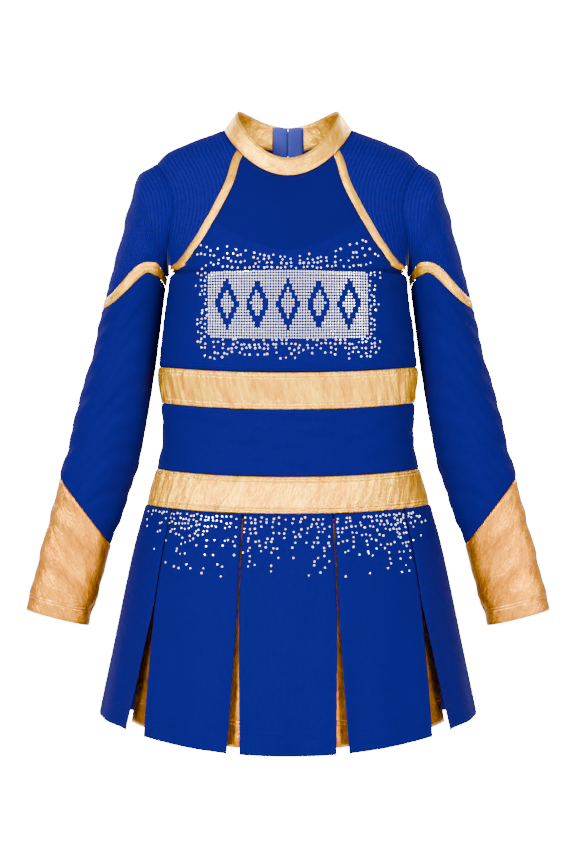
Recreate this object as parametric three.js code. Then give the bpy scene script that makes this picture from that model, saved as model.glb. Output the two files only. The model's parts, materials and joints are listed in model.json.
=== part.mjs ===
// Long-sleeved cheer dress, worn shape, millimetres, +Z up, front faces -Y.
// The origin is the centre of the neck opening. Every fabric piece is a thin closed shell.
import * as THREE from "three";

// Overall sizes
const shoulderHalf = 132;        // shoulder point from the centre line
const chestHalf = 118;           // half width at the armpit
const bandHalf = 129;            // half width at the under-bust band
const waistHalf = 127;           // half width at the narrowest line
const hipHalf = 141;             // half width at the waistband's lower edge
const hemHalf = 187;             // half width at the hem
const chestFront = 88;           // half depth to the front at the chest
const waistFront = 80;           // half depth to the front at the waist
const hemFront = 140;            // half depth to the front at the hem
const hemBack = 132;             // half depth to the back at the hem
const armpitZ = -125;            // armpit level
const bodiceLength = 92;         // armpit to under-bust band
const bandHeight = 36;           // under-bust band
const midriffHeight = 65;        // blue midriff
const waistbandHeight = 36;      // waistband
const skirtLength = 208;         // waistband to hem at the side
const sleeveWidth = 68;          // cuff's flat width
const cuffSideLength = 84;       // cuff length on its short side
const cuffPeak = 52;             // how far the cuff's point rises past that

// Cloth and sewing
const cloth = 1.2;               // cloth thickness
const seamGap = 0.5;             // clearance between pieces sewn edge to edge
const seamDrop = 7;              // how far the bands dip at the centre front
const hemDrop = 20;              // how far the hem dips at the centre front
const trimWidth = 8;             // gold piping on the raglan seams
const sleeveTrimWidth = 10;      // gold band across the upper sleeve
const liningGap = 3.5;            // lining behind the bodice
const scoopDip = 22;             // lining's scooped edge, centre against side

// Zip down the centre back
const zipTopY = 54;              // how far back the zip's top lies
const zipBottomY = 84;           // and its bottom
const tapeWidth = 11;            // each tape
const tapeThickness = 0.8;
const coilThickness = 2;
const sliderLength = 10;
const sliderWidth = 8;
const sliderWall = 1.2;
const coilWidth = (sliderWidth - 2 * sliderWall) / 2 - 0.4;   // each row of teeth
const pullLength = 24;
const pullWidth = 5;
const pullThickness = 1.4;
const stopLength = 3;

// Skirt
const slitAngles = [15, 51, 129, 165];   // pleats, degrees from the centre front
const slitOpenings = [3.2, 8.4, 8.4, 3.2]; // how wide each slit stands open at the hem, degrees
const pleatSpan = 7.5;           // half width of a gold pleat insert, degrees
const pleatSetback = 3;          // insert behind the panels at the waist
const pleatSetbackHem = 13;      // and at the hem
const slitStart = 0.42;          // where the slits begin to open, share of the skirt's length

// Rhinestones
const stoneLayer = 1.2;          // thickness of the stone field
const stoneLift = 0.7;           // clearance between cloth and stones
const motifWidth = 176;
const motifRise = 15;            // upper edge of the stone field, above the armpit
const motifHeight = 99;
const skirtStoneDepth = 60;      // how far the stones run down the skirt

// Levels that follow from the sizes above
const bandTop = armpitZ - bodiceLength;
const midriffTop = bandTop - bandHeight;
const waistbandTop = midriffTop - midriffHeight;
const skirtTop = waistbandTop - waistbandHeight;
const hemZ = skirtTop - skirtLength;
const yokeRise = 110;            // length of the yoke's own coordinate, above the armpit
const collarTopBackZ = 29;
const neckHalf = 64;
const neckDepth = 52;
const collarTopHalf = 51;
const collarTopDepth = 46;
const rad = Math.PI / 180;

const group = new THREE.Group();

const finishes = {
  blue: { color: 0x12308f, roughness: 0.8, metalness: 0 },
  mesh: { color: 0x183393, roughness: 0.9, metalness: 0 },
  gold: { color: 0xe6ac60, roughness: 0.35, metalness: 0.6 },
  lining: { color: 0x10298a, roughness: 0.9, metalness: 0 },
  tape: { color: 0x1637a0, roughness: 0.8, metalness: 0 },
  silver: { color: 0xd8dade, roughness: 0.3, metalness: 0.9 },
  stones: { color: 0xe8dcd8, roughness: 0.15, metalness: 0.1 },
};

function addMesh(name, geometry, finish) {
  const mesh = new THREE.Mesh(geometry, new THREE.MeshStandardMaterial(finishes[finish]));
  mesh.name = name;
  group.add(mesh);
  return mesh;
}

const lerp = (a, b, t) => a + (b - a) * t;
const clamp01 = (t) => Math.min(1, Math.max(0, t));

// Smooth curve through a few [position, value] knots given in falling or rising order.
function profile(knots, at) {
  const k = knots[0][0] < knots[knots.length - 1][0] ? knots : [...knots].reverse();
  const n = k.length;
  if (at <= k[0][0]) return k[0][1];
  if (at >= k[n - 1][0]) return k[n - 1][1];
  let i = 0;
  while (at > k[i + 1][0]) i += 1;
  const slope = (j) => {
    const a = Math.max(0, j - 1);
    const b = Math.min(n - 1, j + 1);
    return (k[b][1] - k[a][1]) / (k[b][0] - k[a][0]);
  };
  const h = k[i + 1][0] - k[i][0];
  const t = (at - k[i][0]) / h;
  const t2 = t * t;
  const t3 = t2 * t;
  return (2 * t3 - 3 * t2 + 1) * k[i][1] + (t3 - 2 * t2 + t) * h * slope(i)
    + (3 * t2 - 2 * t3) * k[i + 1][1] + (t3 - t2) * h * slope(i + 1);
}

// The zip's straight line down the back, as a depth at each level.
const zipSlope = (zipBottomY - zipTopY) / (collarTopBackZ - skirtTop);
const zipLine = (z) => zipTopY + (collarTopBackZ - z) * zipSlope;

// A rounded oval: half width, front half depth and back half depth, angle 0 at the front.
function oval(angle, half, front, back, z, power) {
  const s = Math.sin(angle * rad);
  const c = Math.cos(angle * rad);
  const x = half * Math.sign(s) * Math.abs(s) ** power;
  const depth = (c > 0 ? front : back) * Math.abs(c) ** power;
  return new THREE.Vector3(x, c > 0 ? -depth : depth, z);
}

const torsoPower = 0.87;
const frontFacing = (angle) => Math.max(0, Math.cos(angle * rad)) ** 2;

function torsoTube(angle, z, drop) {
  const half = profile([[armpitZ, chestHalf], [bandTop, bandHalf], [midriffTop, waistHalf - 0.5],
    [lerp(midriffTop, waistbandTop, 0.7), waistHalf], [skirtTop, hipHalf]], z);
  const front = profile([[armpitZ, chestFront], [bandTop, chestFront - 3], [midriffTop, waistFront],
    [waistbandTop, waistFront], [skirtTop, waistFront + 8]], z);
  const point = oval(angle, half, front, zipLine(z), z, torsoPower);
  point.z -= drop * frontFacing(angle);
  return point;
}

const neckZ = (angle) => 2.75 - 15.5 * Math.cos(angle * rad) - 17.25 * Math.cos(2 * angle * rad);
const collarZ = (angle) => 23 - 20.5 * Math.cos(angle * rad) - 14.5 * Math.cos(2 * angle * rad);
const backShare = (angle) => (1 - Math.cos(angle * rad)) / 2;

function ring(angle, half, front, back, z) {
  const depth = lerp(front, back, backShare(angle));
  return new THREE.Vector3(half * Math.sin(angle * rad), -depth * Math.cos(angle * rad), z);
}
const neckRing = (angle) => ring(angle, neckHalf, neckDepth - 4, zipLine(neckZ(180)), neckZ(angle));
const collarRing = (angle) => ring(
  angle, collarTopHalf, collarTopDepth - 2, zipLine(collarZ(180)), collarZ(angle));

// The dress's body: up is a length from the armpit, negative below it, up to yokeRise at the neck.
function torso(angle, up) {
  if (up <= 0) return torsoTube(angle, armpitZ + up, seamDrop * clamp01(-up / bodiceLength));
  const t = up / yokeRise;
  const s2 = Math.sin(angle * rad) ** 2;
  const outward = Math.sign(Math.sin(angle * rad)) * s2 * shoulderHalf;
  const bend = (share, frontDepth, frontZ, backZ, sideZ) => {
    const z = lerp(lerp(frontZ, backZ, backShare(angle)), sideZ, s2);
    const depth = lerp(frontDepth, zipLine(z), backShare(angle));
    return new THREE.Vector3(share * outward, -depth * Math.cos(angle * rad), z);
  };
  const a = torsoTube(angle, armpitZ, 0).multiplyScalar((1 - t) ** 3);
  a.addScaledVector(bend(1.25, chestFront - 6, -95, -85, 2), 3 * t * (1 - t) ** 2);
  a.addScaledVector(bend(0.94, chestFront - 20, -62, -42, -4), 3 * t * t * (1 - t));
  return a.addScaledVector(neckRing(angle), t ** 3);
}

// Skirt: along runs from 0 at the waist to 1 at the hem.
function skirt(angle, along, setback) {
  const share = profile([[0, 0], [0.22, 0.27], [0.7, 0.71], [1, 1]], along);
  const half = lerp(hipHalf, hemHalf, share) - setback;
  const front = lerp(waistFront + 8, hemFront, share) - setback;
  const back = lerp(zipLine(skirtTop), hemBack, share) - setback;
  const length = skirtLength + hemDrop * Math.cos(angle * rad) ** 2;
  const z = skirtTop - seamGap - along * length;
  const point = oval(angle, half, front, back, z, lerp(torsoPower, 0.95, along));
  point.z -= seamDrop * frontFacing(angle);
  return point;
}

// The way a surface faces, by small steps in its two coordinates.
function facing(surface, u, v) {
  const step = 1e-3;
  const du = surface(u + step, v).sub(surface(u - step, v));
  const dv = surface(u, v + step).sub(surface(u, v - step));
  return du.cross(dv).normalize();
}

// A closed shell on surface(u, v), which faces out along du x dv, for grid(i, j) -> [u, v].
// lift raises its outer face; wrap joins the last column to the first.
function shell(surface, grid, columns, rows, thickness, lift = 0, wrap = false) {
  const count = wrap ? columns : columns + 1;
  const outer = [];
  const inner = [];
  for (let j = 0; j <= rows; j += 1) {
    for (let i = 0; i < count; i += 1) {
      const [u, v] = grid(i / columns, j / rows);
      const n = facing(surface, u, v);
      const p = surface(u, v);
      outer.push(p.clone().addScaledVector(n, lift));
      inner.push(p.clone().addScaledVector(n, lift - thickness));
    }
  }
  const points = [...outer, ...inner];
  const index = [];
  const at = (i, j, side) => side * outer.length + j * count + (i % count);
  const quad = (a, b, c, d) => index.push(a, b, c, a, c, d);
  for (let j = 0; j < rows; j += 1) {
    for (let i = 0; i < columns; i += 1) {
      quad(at(i, j, 0), at(i + 1, j, 0), at(i + 1, j + 1, 0), at(i, j + 1, 0));
      quad(at(i, j, 1), at(i, j + 1, 1), at(i + 1, j + 1, 1), at(i + 1, j, 1));
    }
  }
  for (let i = 0; i < columns; i += 1) {
    quad(at(i, 0, 0), at(i, 0, 1), at(i + 1, 0, 1), at(i + 1, 0, 0));
    quad(at(i, rows, 0), at(i + 1, rows, 0), at(i + 1, rows, 1), at(i, rows, 1));
  }
  for (let j = 0; j < rows && !wrap; j += 1) {
    quad(at(0, j, 0), at(0, j + 1, 0), at(0, j + 1, 1), at(0, j, 1));
    quad(at(columns, j, 0), at(columns, j, 1), at(columns, j + 1, 1), at(columns, j + 1, 0));
  }
  let volume = 0;
  for (let k = 0; k < index.length; k += 3) {
    const [a, b, c] = index.slice(k, k + 3).map((n) => points[n]);
    volume += a.dot(b.clone().cross(c));
  }
  if (volume < 0) index.reverse();
  const geometry = new THREE.BufferGeometry();
  const flat = points.flatMap((p) => [p.x, p.y, p.z]);
  geometry.setAttribute("position", new THREE.Float32BufferAttribute(flat, 3));
  geometry.setIndex(index);
  geometry.computeVertexNormals();
  return geometry;
}

// Half a band's width as a step in u, square to a line that moves by du while v moves by dv.
function stepAcross(surface, u, v, slope, width) {
  const step = 1e-3;
  const pu = surface(u + step, v).sub(surface(u - step, v)).divideScalar(2 * step);
  const pv = surface(u, v + step).sub(surface(u, v - step)).divideScalar(2 * step);
  const along = pu.clone().multiplyScalar(slope).add(pv);
  return width / (pu.cross(along).length() / along.length());
}

const sides = [["left", 1], ["right", -1]];

// Raglan seam: its angle at each share of the way from the armpit to the neck.
const raglanKnots = [[0, 78], [0.03, 60], [0.1, 50], [0.2, 45], [0.4, 42], [0.7, 42.3], [1, 48]];
const raglanAngle = (t) => profile(raglanKnots, t);
const raglanSlope = (t) => (raglanAngle(t + 1e-3) - raglanAngle(t - 1e-3)) / (2e-3 * yokeRise);

// The angle of a line beside the raglan seam, at a distance towards the arm.
function besideRaglan(up, distance, back) {
  const t = clamp01(up / yokeRise);
  const line = back ? 180 - raglanAngle(t) : raglanAngle(t);
  const slope = (back ? -1 : 1) * raglanSlope(t);
  const step = stepAcross(torso, line, Math.max(up, 0.5), slope, Math.abs(distance));
  return line + step * Math.sign(distance) * (back ? -1 : 1);
}

// The angle near 180 at which a surface comes within a distance of the centre back.
function nearCentreBack(surface, v, distance) {
  let low = 120;
  let high = 180;
  for (let k = 0; k < 30; k += 1) {
    const middle = (low + high) / 2;
    if (surface(middle, v).x > distance) low = middle;
    else high = middle;
  }
  return low;
}

const zipOpening = sliderWidth / 2 + 0.8;   // the back's edges stand clear of the slider
const seamAngle = 0.3;                      // half a side seam's gap, degrees
const armpitRows = 5;
const yokeRows = 11;
const yokeTop = yokeRise - seamGap;

// Levels up the yoke, close together near the armpit where the raglan seam turns.
const yokeLevel = (share) => lerp(1, yokeTop, share ** 1.7);

// Levels of a bodice piece: even below the armpit, then the yoke's.
function bodiceUp(j) {
  if (j <= armpitRows) return lerp(-bodiceLength + seamGap, -2, j / armpitRows);
  return yokeLevel((j - armpitRows - 1) / (yokeRows - 1));
}
const bodiceRows = armpitRows + yokeRows;
const raglanClear = -(trimWidth / 2 + seamGap);

function frontLimit(up) {
  return up < 0 ? 90 - seamAngle : besideRaglan(up, raglanClear, false);
}
addMesh("bodice_front", shell(torso, (i, j) => {
  const up = bodiceUp(Math.round(j * bodiceRows));
  return [lerp(-1, 1, i) * frontLimit(up), up];
}, 16, bodiceRows, cloth), "blue");

for (const [name, side] of sides) {
  addMesh(`bodice_back_${name}`, shell(torso, (i, j) => {
    const up = bodiceUp(Math.round(j * bodiceRows));
    const outer = up < 0 ? 90 + seamAngle : besideRaglan(up, raglanClear, true);
    return [side * lerp(outer, nearCentreBack(torso, up, zipOpening), i), up];
  }, 8, bodiceRows, cloth), "blue");
}

// Lining behind the front, with a scooped upper edge.
const liningRise = 24;
const liningClear = raglanClear - 1;
const liningSide = 75;           // angle at which the lining meets the side seams
addMesh("bodice_lining", shell(torso, (i, j) => {
  const share = lerp(-1, 1, i);
  const top = liningRise + scoopDip * share * share;
  const up = lerp(-bodiceLength + 4, top, j);
  const raglan = besideRaglan(Math.max(up, 1), liningClear, false);
  return [share * lerp(liningSide, Math.min(liningSide, raglan), clamp01(up / 10 + 1)), up];
}, 16, 8, cloth, -(cloth + liningGap)), "lining");

// Gold piping on the raglan seams.
for (const [name, side] of sides) {
  for (const [where, back] of [["front", false], ["back", true]]) {
    addMesh(`raglan_trim_${where}_${name}`, shell(torso, (i, j) => {
      const up = yokeLevel(j);
      const angle = lerp(besideRaglan(up, -trimWidth / 2, back), besideRaglan(up, trimWidth / 2, back), i);
      return [side * angle, up];
    }, 1, yokeRows - 1, cloth), "gold");
  }
}

// Armhole: an oval on the body round the armpit's side, from the armpit up to the shoulder point.
const armholeSpread = 28;        // half its spread in angle
const armholeTop = 0.5;          // how far up the yoke it reaches
function armhole(turn) {
  const angle = 90 - armholeSpread * Math.sin(2 * Math.PI * turn);
  return [angle, yokeRise * armholeTop * (1 - Math.cos(2 * Math.PI * turn)) / 2];
}

// Sheer shoulder between the raglan seams and the armhole, over the shoulder in one piece.
const shoulderStart = 0.065;     // where it begins beside the armpit, as a share of the armhole
const raglanSteps = yokeRows - 1;
const neckSteps = 6;
const shoulderSteps = 2 * raglanSteps + neckSteps;
function shoulderEdge(step) {
  const clear = trimWidth / 2 + seamGap;
  const low = armhole(shoulderStart)[1];
  const neckFront = besideRaglan(yokeTop, clear, false);
  const neckBack = besideRaglan(yokeTop, clear, true);
  if (step <= raglanSteps) {
    const up = Math.max(low, yokeLevel(step / raglanSteps));
    return [besideRaglan(up, clear, false), up];
  }
  if (step <= raglanSteps + neckSteps) {
    return [lerp(neckFront, neckBack, (step - raglanSteps) / neckSteps), yokeTop];
  }
  const up = Math.max(low, yokeLevel(1 - (step - raglanSteps - neckSteps) / raglanSteps));
  return [besideRaglan(up, clear, true), up];
}
for (const [name, side] of sides) {
  addMesh(`mesh_shoulder_${name}`, shell(torso, (i, j) => {
    const [innerAngle, innerUp] = armhole(lerp(shoulderStart, 1 - shoulderStart, i));
    const [outerAngle, outerUp] = shoulderEdge(Math.round(i * shoulderSteps));
    return [side * lerp(innerAngle, outerAngle, j), lerp(innerUp, outerUp, j)];
  }, shoulderSteps, 3, cloth), "mesh");
}

// Stand collar, between the neck seam and its own top edge.
const collarThickness = 1.5;
function collar(angle, up) {
  const base = neckRing(angle);
  return base.lerp(collarRing(angle), up);
}
const collarBottom = 0.03;
addMesh("collar_front", shell(collar, (i, j) => [
  lerp(-1, 1, i) * (90 - seamAngle), lerp(collarBottom, 1, j)], 16, 2, collarThickness), "gold");
for (const [name, side] of sides) {
  addMesh(`collar_back_${name}`, shell(collar, (i, j) => {
    const up = lerp(collarBottom, 1, j);
    return [side * lerp(90 + seamAngle, nearCentreBack(collar, up, zipOpening), i), up];
  }, 8, 2, collarThickness), "gold");
}

// Bands round the body: under-bust band, midriff and waistband, each a front and two backs.
const bands = [["bust_band", bandTop, bandHeight, "gold"], ["midriff", midriffTop, midriffHeight, "blue"],
  ["waistband", waistbandTop, waistbandHeight, "gold"]];
for (const [name, top, height, finish] of bands) {
  const up = (j) => lerp(top - height, top - seamGap, j) - armpitZ;
  addMesh(`${name}_front`, shell(torso, (i, j) => [
    lerp(-1, 1, i) * (90 - seamAngle), up(j)], 16, 2, cloth), finish);
  for (const [sideName, side] of sides) {
    addMesh(`${name}_back_${sideName}`, shell(torso, (i, j) => [
      side * lerp(90 + seamAngle, nearCentreBack(torso, up(j), zipOpening), i), up(j)],
    8, 2, cloth), finish);
  }
}

// Sleeve: sections between an outer and an inner edge line, fanned round the armpit, then straight.
const hang = 14.3 * rad;         // the hanging sleeve's angle from plumb
const armClear = 2.5;            // sleeve clear of the body's side
const deltoid = 60;              // how far the upper arm stands out past the armpit
const sleeveOuterLength = 340;   // outer edge, from the armpit's level to the cuff
const armWidths = [null, 67, 73, 66.5, sleeveWidth - 3];   // straight part, quarter by quarter
const armDepths = [45, 45, 42, 38, 33, 29, 25, 22];        // half depths, shoulder to cuff
const quarters = 4;
const shoulderZ = armpitZ + 111;

const down = new THREE.Vector3(Math.sin(hang), 0, -Math.cos(hang));
const inward = new THREE.Vector3(-Math.cos(hang), 0, -Math.sin(hang));
const armStart = new THREE.Vector3(chestHalf + deltoid, 0, armpitZ - 5);
const besideBody = (z) => new THREE.Vector3(torsoTube(90, z, 0).x + armClear, 0, z);
const outerEdge = [
  new THREE.Vector3(shoulderHalf - 1, 0, shoulderZ),
  new THREE.Vector3(shoulderHalf + 18, 0, shoulderZ - 13),
  new THREE.Vector3(lerp(shoulderHalf, armStart.x, 0.6), 0, shoulderZ - 46),
];
const innerEdge = [besideBody(armpitZ - 2.5), besideBody(armpitZ - 4.5), besideBody(armpitZ - 9)];
for (let q = 0; q <= quarters; q += 1) {
  const outer = armStart.clone().addScaledVector(down, sleeveOuterLength * q / quarters);
  outerEdge.push(outer);
  if (q === 0) innerEdge.push(besideBody(armpitZ - 22));
  else innerEdge.push(outer.clone().addScaledVector(inward, armWidths[q]));
}
const lastSection = outerEdge.length - 1;

function along(points, at) {
  const value = (axis) => profile(points.map((p, k) => [k, p[axis]]), at);
  return new THREE.Vector3(value("x"), 0, value("z"));
}
const smooth = (t) => t * t * (3 - 2 * t);

function sleeveRight(turn, section) {
  const outer = along(outerEdge, section);
  const inner = along(innerEdge, section);
  const depth = profile(armDepths.map((d, k) => [k, d]), section);
  const p = outer.clone().add(inner).multiplyScalar(0.5);
  p.addScaledVector(outer.sub(inner), 0.5 * Math.cos(turn * rad));
  p.y -= depth * Math.sin(turn * rad);
  if (section >= 1) return p;
  const edge = torso(...armhole((180 - turn) / 360));
  edge.x += armClear - 0.5;
  return edge.lerp(p, smooth(clamp01(section)));
}
const quarterLength = sleeveOuterLength / quarters;
const trimSection = (turn) => 3.3 - 1.6 * backShare(turn) ** 1.5;
const cuffSection = (turn) => lastSection
  - (cuffSideLength + cuffPeak * (1 - backShare(turn))) / quarterLength;

// A section number's change that moves a distance square to a seam round the sleeve.
function sectionStep(turn, seam, distance) {
  const swapped = (v, u) => sleeveRight(u, v);
  const slope = (seam(turn + 0.1) - seam(turn - 0.1)) / 0.2;
  return stepAcross(swapped, seam(turn), turn, slope, distance);
}
const sleevePieces = [
  ["sleeve_mesh", () => 0.02,
    (turn) => trimSection(turn) - sectionStep(turn, trimSection, sleeveTrimWidth / 2 + seamGap),
    6, "mesh", 0],
  ["sleeve_trim", (turn) => trimSection(turn) - sectionStep(turn, trimSection, sleeveTrimWidth / 2),
    (turn) => trimSection(turn) + sectionStep(turn, trimSection, sleeveTrimWidth / 2), 1, "gold", 0.2],
  ["sleeve", (turn) => trimSection(turn)
    + sectionStep(turn, trimSection, sleeveTrimWidth / 2 + seamGap),
    (turn) => cuffSection(turn) - seamGap / quarterLength, 7, "blue", 0],
  ["cuff", cuffSection, () => lastSection, 3, "gold", 0],
];
for (const [name, side] of sides) {
  const surface = side > 0 ? sleeveRight : (u, v) => {
    const p = sleeveRight(-u, v);
    p.x = -p.x;
    return p;
  };
  for (const [piece, from, to, rows, finish, lift] of sleevePieces) {
    addMesh(`${piece}_${name}`, shell(surface, (i, j) => {
      const turn = 360 * i;
      return [side * turn, lerp(from(turn), to(turn), j)];
    }, 20, rows, cloth, lift, true), finish);
  }
}

// Skirt panels between the pleats, and a gold pleat insert behind each slit.
const skirtDown = (angle, v) => skirt(angle, 1 - v, 0);
const slitHalf = (k, level) => {
  const open = clamp01((1 - level - slitStart) / (1 - slitStart));
  return seamAngle + slitOpenings[k] / 2 * open;
};
const panelNames = ["front_left", "side_left", "back_left"];
const panelSpans = [["front", 0, -1], ["back", 180, 1]];
for (const [name, middle, turn] of panelSpans) {
  const k = middle === 0 ? 0 : slitAngles.length - 1;
  const half = middle === 0 ? slitAngles[0] : 180 - slitAngles[k];
  addMesh(`skirt_panel_${name}`, shell(skirtDown, (i, j) => [
    middle - turn * lerp(-1, 1, i) * (half - slitHalf(k, j)), j], 6, 6, cloth), "blue");
}
for (const [sideName, side] of sides) {
  panelNames.forEach((name, k) => {
    addMesh(`skirt_panel_${name.split("_")[0]}_${sideName}`, shell(skirtDown, (i, j) => [
      side * lerp(slitAngles[k] + slitHalf(k, j), slitAngles[k + 1] - slitHalf(k + 1, j), i), j],
    k === 1 ? 12 : 6, 6, cloth), "blue");
  });
  slitAngles.forEach((slit, k) => {
    const surface = (angle, v) => skirt(angle, 1 - v, lerp(pleatSetbackHem, pleatSetback, v));
    addMesh(`pleat_insert_${k + 1}_${sideName}`, shell(surface, (i, j) => [
      side * (slit + lerp(-1, 1, i) * pleatSpan), lerp(0.02, 0.97, j)], 3, 4, cloth), "gold");
  });
}

// Zip, built along its own line: distances are measured down from the collar's top edge.
const zipAngle = Math.atan(zipSlope);
const zipLength = (collarTopBackZ - skirtTop) / Math.cos(zipAngle);
function alongZip(name, geometry, x, y, from, finish) {
  const mesh = addMesh(name, geometry, finish);
  mesh.rotation.x = zipAngle;
  const cos = Math.cos(zipAngle);
  const sin = Math.sin(zipAngle);
  mesh.position.set(x, zipTopY + from * sin + y * cos, collarTopBackZ - from * cos + y * sin);
}
const zipBox = (width, depth, length) => new THREE.BoxGeometry(width, depth, length)
  .translate(0, 0, -length / 2);

const coilY = -cloth / 2;
// The back curves away beside the zip, so the tapes lie deeper the further out they start.
const tapeY = -4.7 - 0.62 * Math.max(0, zipOpening - 4.8);
const coilInner = 0.2;
const sliderStart = 4.5;
const stopGap = 0.4;
for (const [name, side] of sides) {
  const coilX = side * (coilInner + coilWidth / 2);
  const tapeX = side * (zipOpening + tapeWidth / 2 - 0.2);
  alongZip(`zip_tape_${name}`, zipBox(tapeWidth, tapeThickness, zipLength - 1), tapeX, tapeY, 0.5, "tape");
  alongZip(`zip_teeth_${name}`, zipBox(coilWidth, coilThickness, zipLength - 2 * (stopLength + stopGap) - 1),
    coilX, coilY, 1 + stopLength + stopGap, "silver");
  alongZip(`zip_top_stop_${name}`, zipBox(coilWidth, coilThickness, stopLength), coilX, coilY, 1, "silver");
}
alongZip("zip_bottom_stop", zipBox(2 * (coilWidth + coilInner), coilThickness, stopLength),
  0, coilY, zipLength - stopLength, "silver");

const sliderRoom = 0.4;          // slider clear of the teeth
const sliderHoleX = coilInner + coilWidth + sliderRoom;
const sliderHoleY = coilThickness / 2 + sliderRoom;
const sliderDepth = sliderHoleY + sliderWall;
function frameShape(outerX, outerY, innerX, innerY) {
  const rectangle = (x, y) => [[-x, -y], [x, -y], [x, y], [-x, y]].map(([a, b]) => new THREE.Vector2(a, b));
  const shape = new THREE.Shape(rectangle(outerX, outerY));
  shape.holes.push(new THREE.Path(rectangle(innerX, innerY)));
  return shape;
}
alongZip("zip_slider", new THREE.ExtrudeGeometry(
  frameShape(sliderWidth / 2, sliderDepth, sliderHoleX, sliderHoleY),
  { depth: sliderLength, bevelEnabled: false }).translate(0, 0, -sliderLength), 0, coilY, sliderStart, "silver");

// Pull tab: a flat tongue with a round end and a slot, hanging from the slider's outer face.
const pullShape = new THREE.Shape();
pullShape.moveTo(-pullWidth / 2, 0).lineTo(-pullWidth / 2, -pullLength + pullWidth / 2)
  .absarc(0, -pullLength + pullWidth / 2, pullWidth / 2, Math.PI, 2 * Math.PI, false)
  .lineTo(pullWidth / 2, 0).closePath();
pullShape.holes.push(new THREE.Path().absarc(0, -pullLength + pullWidth / 2 + 1, 1.2, 0, 2 * Math.PI, true));
const pullGap = 0.6;
const pullY = coilY + sliderDepth + pullGap + pullThickness;
alongZip("zip_pull", new THREE.ExtrudeGeometry(
  pullShape, { depth: pullThickness, bevelEnabled: false, curveSegments: 6 }).rotateX(Math.PI / 2),
0, pullY, sliderStart + 1, "silver");

// Rhinestone fields: thin layers that follow the cloth under them.
const motifLow = motifRise - motifHeight;
const motifAngle = (up) => nearFront(torso, up, motifWidth / 2);
function nearFront(surface, v, distance) {
  let low = 0;
  let high = 85;
  for (let k = 0; k < 30; k += 1) {
    const middle = (low + high) / 2;
    if (surface(middle, v).x < distance) low = middle;
    else high = middle;
  }
  return low;
}
addMesh("chest_rhinestones", shell(torso, (i, j) => {
  const up = lerp(motifLow, motifRise, j);
  return [lerp(-1, 1, i) * motifAngle(up), up];
}, 16, 8, stoneLayer, stoneLift + stoneLayer), "stones");

const stoneTop = 1 - 4 / skirtLength;
const stoneBottom = 1 - skirtStoneDepth / skirtLength;
addMesh("skirt_rhinestones_front", shell(skirtDown, (i, j) => [
  lerp(-1, 1, i) * (slitAngles[0] - 1), lerp(stoneBottom, stoneTop, j)], 4, 2,
stoneLayer, stoneLift + stoneLayer), "stones");
for (const [name, side] of sides) {
  addMesh(`skirt_rhinestones_${name}`, shell(skirtDown, (i, j) => [
    side * lerp(slitAngles[0] + 1, slitAngles[1] - 1, i), lerp(stoneBottom, stoneTop, j)], 4, 2,
  stoneLayer, stoneLift + stoneLayer), "stones");
}

export default group;
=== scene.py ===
"""Looks for a long-sleeved cheer dress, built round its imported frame.

Lengths inside the dress classes are millimetres, as a pattern cutter writes them, and become
metres when a mesh is made. The dress faces -Y, its wearer's left is +X, and Z runs up.
"""
import json
import logging
import math
from dataclasses import dataclass
from enum import Enum
from typing import Callable

import bpy
import numpy as np
from mathutils import Matrix, Vector


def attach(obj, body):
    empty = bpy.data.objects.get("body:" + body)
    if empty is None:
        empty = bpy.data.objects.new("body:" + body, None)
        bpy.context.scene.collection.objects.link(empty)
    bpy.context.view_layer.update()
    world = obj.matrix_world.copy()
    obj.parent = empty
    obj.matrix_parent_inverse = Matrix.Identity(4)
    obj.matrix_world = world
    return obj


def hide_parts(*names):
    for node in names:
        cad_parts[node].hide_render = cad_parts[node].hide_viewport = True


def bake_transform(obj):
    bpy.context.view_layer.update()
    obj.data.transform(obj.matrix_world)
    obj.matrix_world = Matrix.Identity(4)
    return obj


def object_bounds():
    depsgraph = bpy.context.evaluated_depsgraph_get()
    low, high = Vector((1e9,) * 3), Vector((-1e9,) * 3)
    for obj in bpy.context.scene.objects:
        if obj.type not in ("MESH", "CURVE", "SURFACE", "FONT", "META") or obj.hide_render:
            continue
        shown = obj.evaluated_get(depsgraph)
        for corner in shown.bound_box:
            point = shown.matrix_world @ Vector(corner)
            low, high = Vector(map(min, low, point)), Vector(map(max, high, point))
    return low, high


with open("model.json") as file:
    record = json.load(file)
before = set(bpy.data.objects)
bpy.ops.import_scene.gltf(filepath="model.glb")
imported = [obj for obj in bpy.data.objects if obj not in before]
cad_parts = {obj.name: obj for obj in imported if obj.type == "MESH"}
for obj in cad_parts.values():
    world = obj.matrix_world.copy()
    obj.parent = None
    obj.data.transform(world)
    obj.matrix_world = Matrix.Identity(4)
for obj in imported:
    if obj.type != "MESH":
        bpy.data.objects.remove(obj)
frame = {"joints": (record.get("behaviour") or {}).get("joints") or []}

CAD_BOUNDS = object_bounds()
LOG = logging.getLogger("cheer_dress")
Array = np.ndarray
Surface = Callable[[Array, Array], Array]
MM = 0.001


class Side(Enum):
    """The wearer's side, with the sign of its X."""

    LEFT = 1
    RIGHT = -1

    @property
    def word(self) -> str:
        """The side's name as pieces spell it."""
        return self.name.lower()


class Hold(Enum):
    """How a piece of cloth is held on the dress."""

    STRETCHED = "stretched"
    HUNG = "hung"
    FOLDED = "folded"


def lerp(low, high, share):
    """Even blend from low to high."""
    return low + (high - low) * share


def smooth(value):
    """Smooth step of a value held between 0 and 1."""
    held = np.clip(value, 0.0, 1.0)
    return held * held * (3 - 2 * held)


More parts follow.
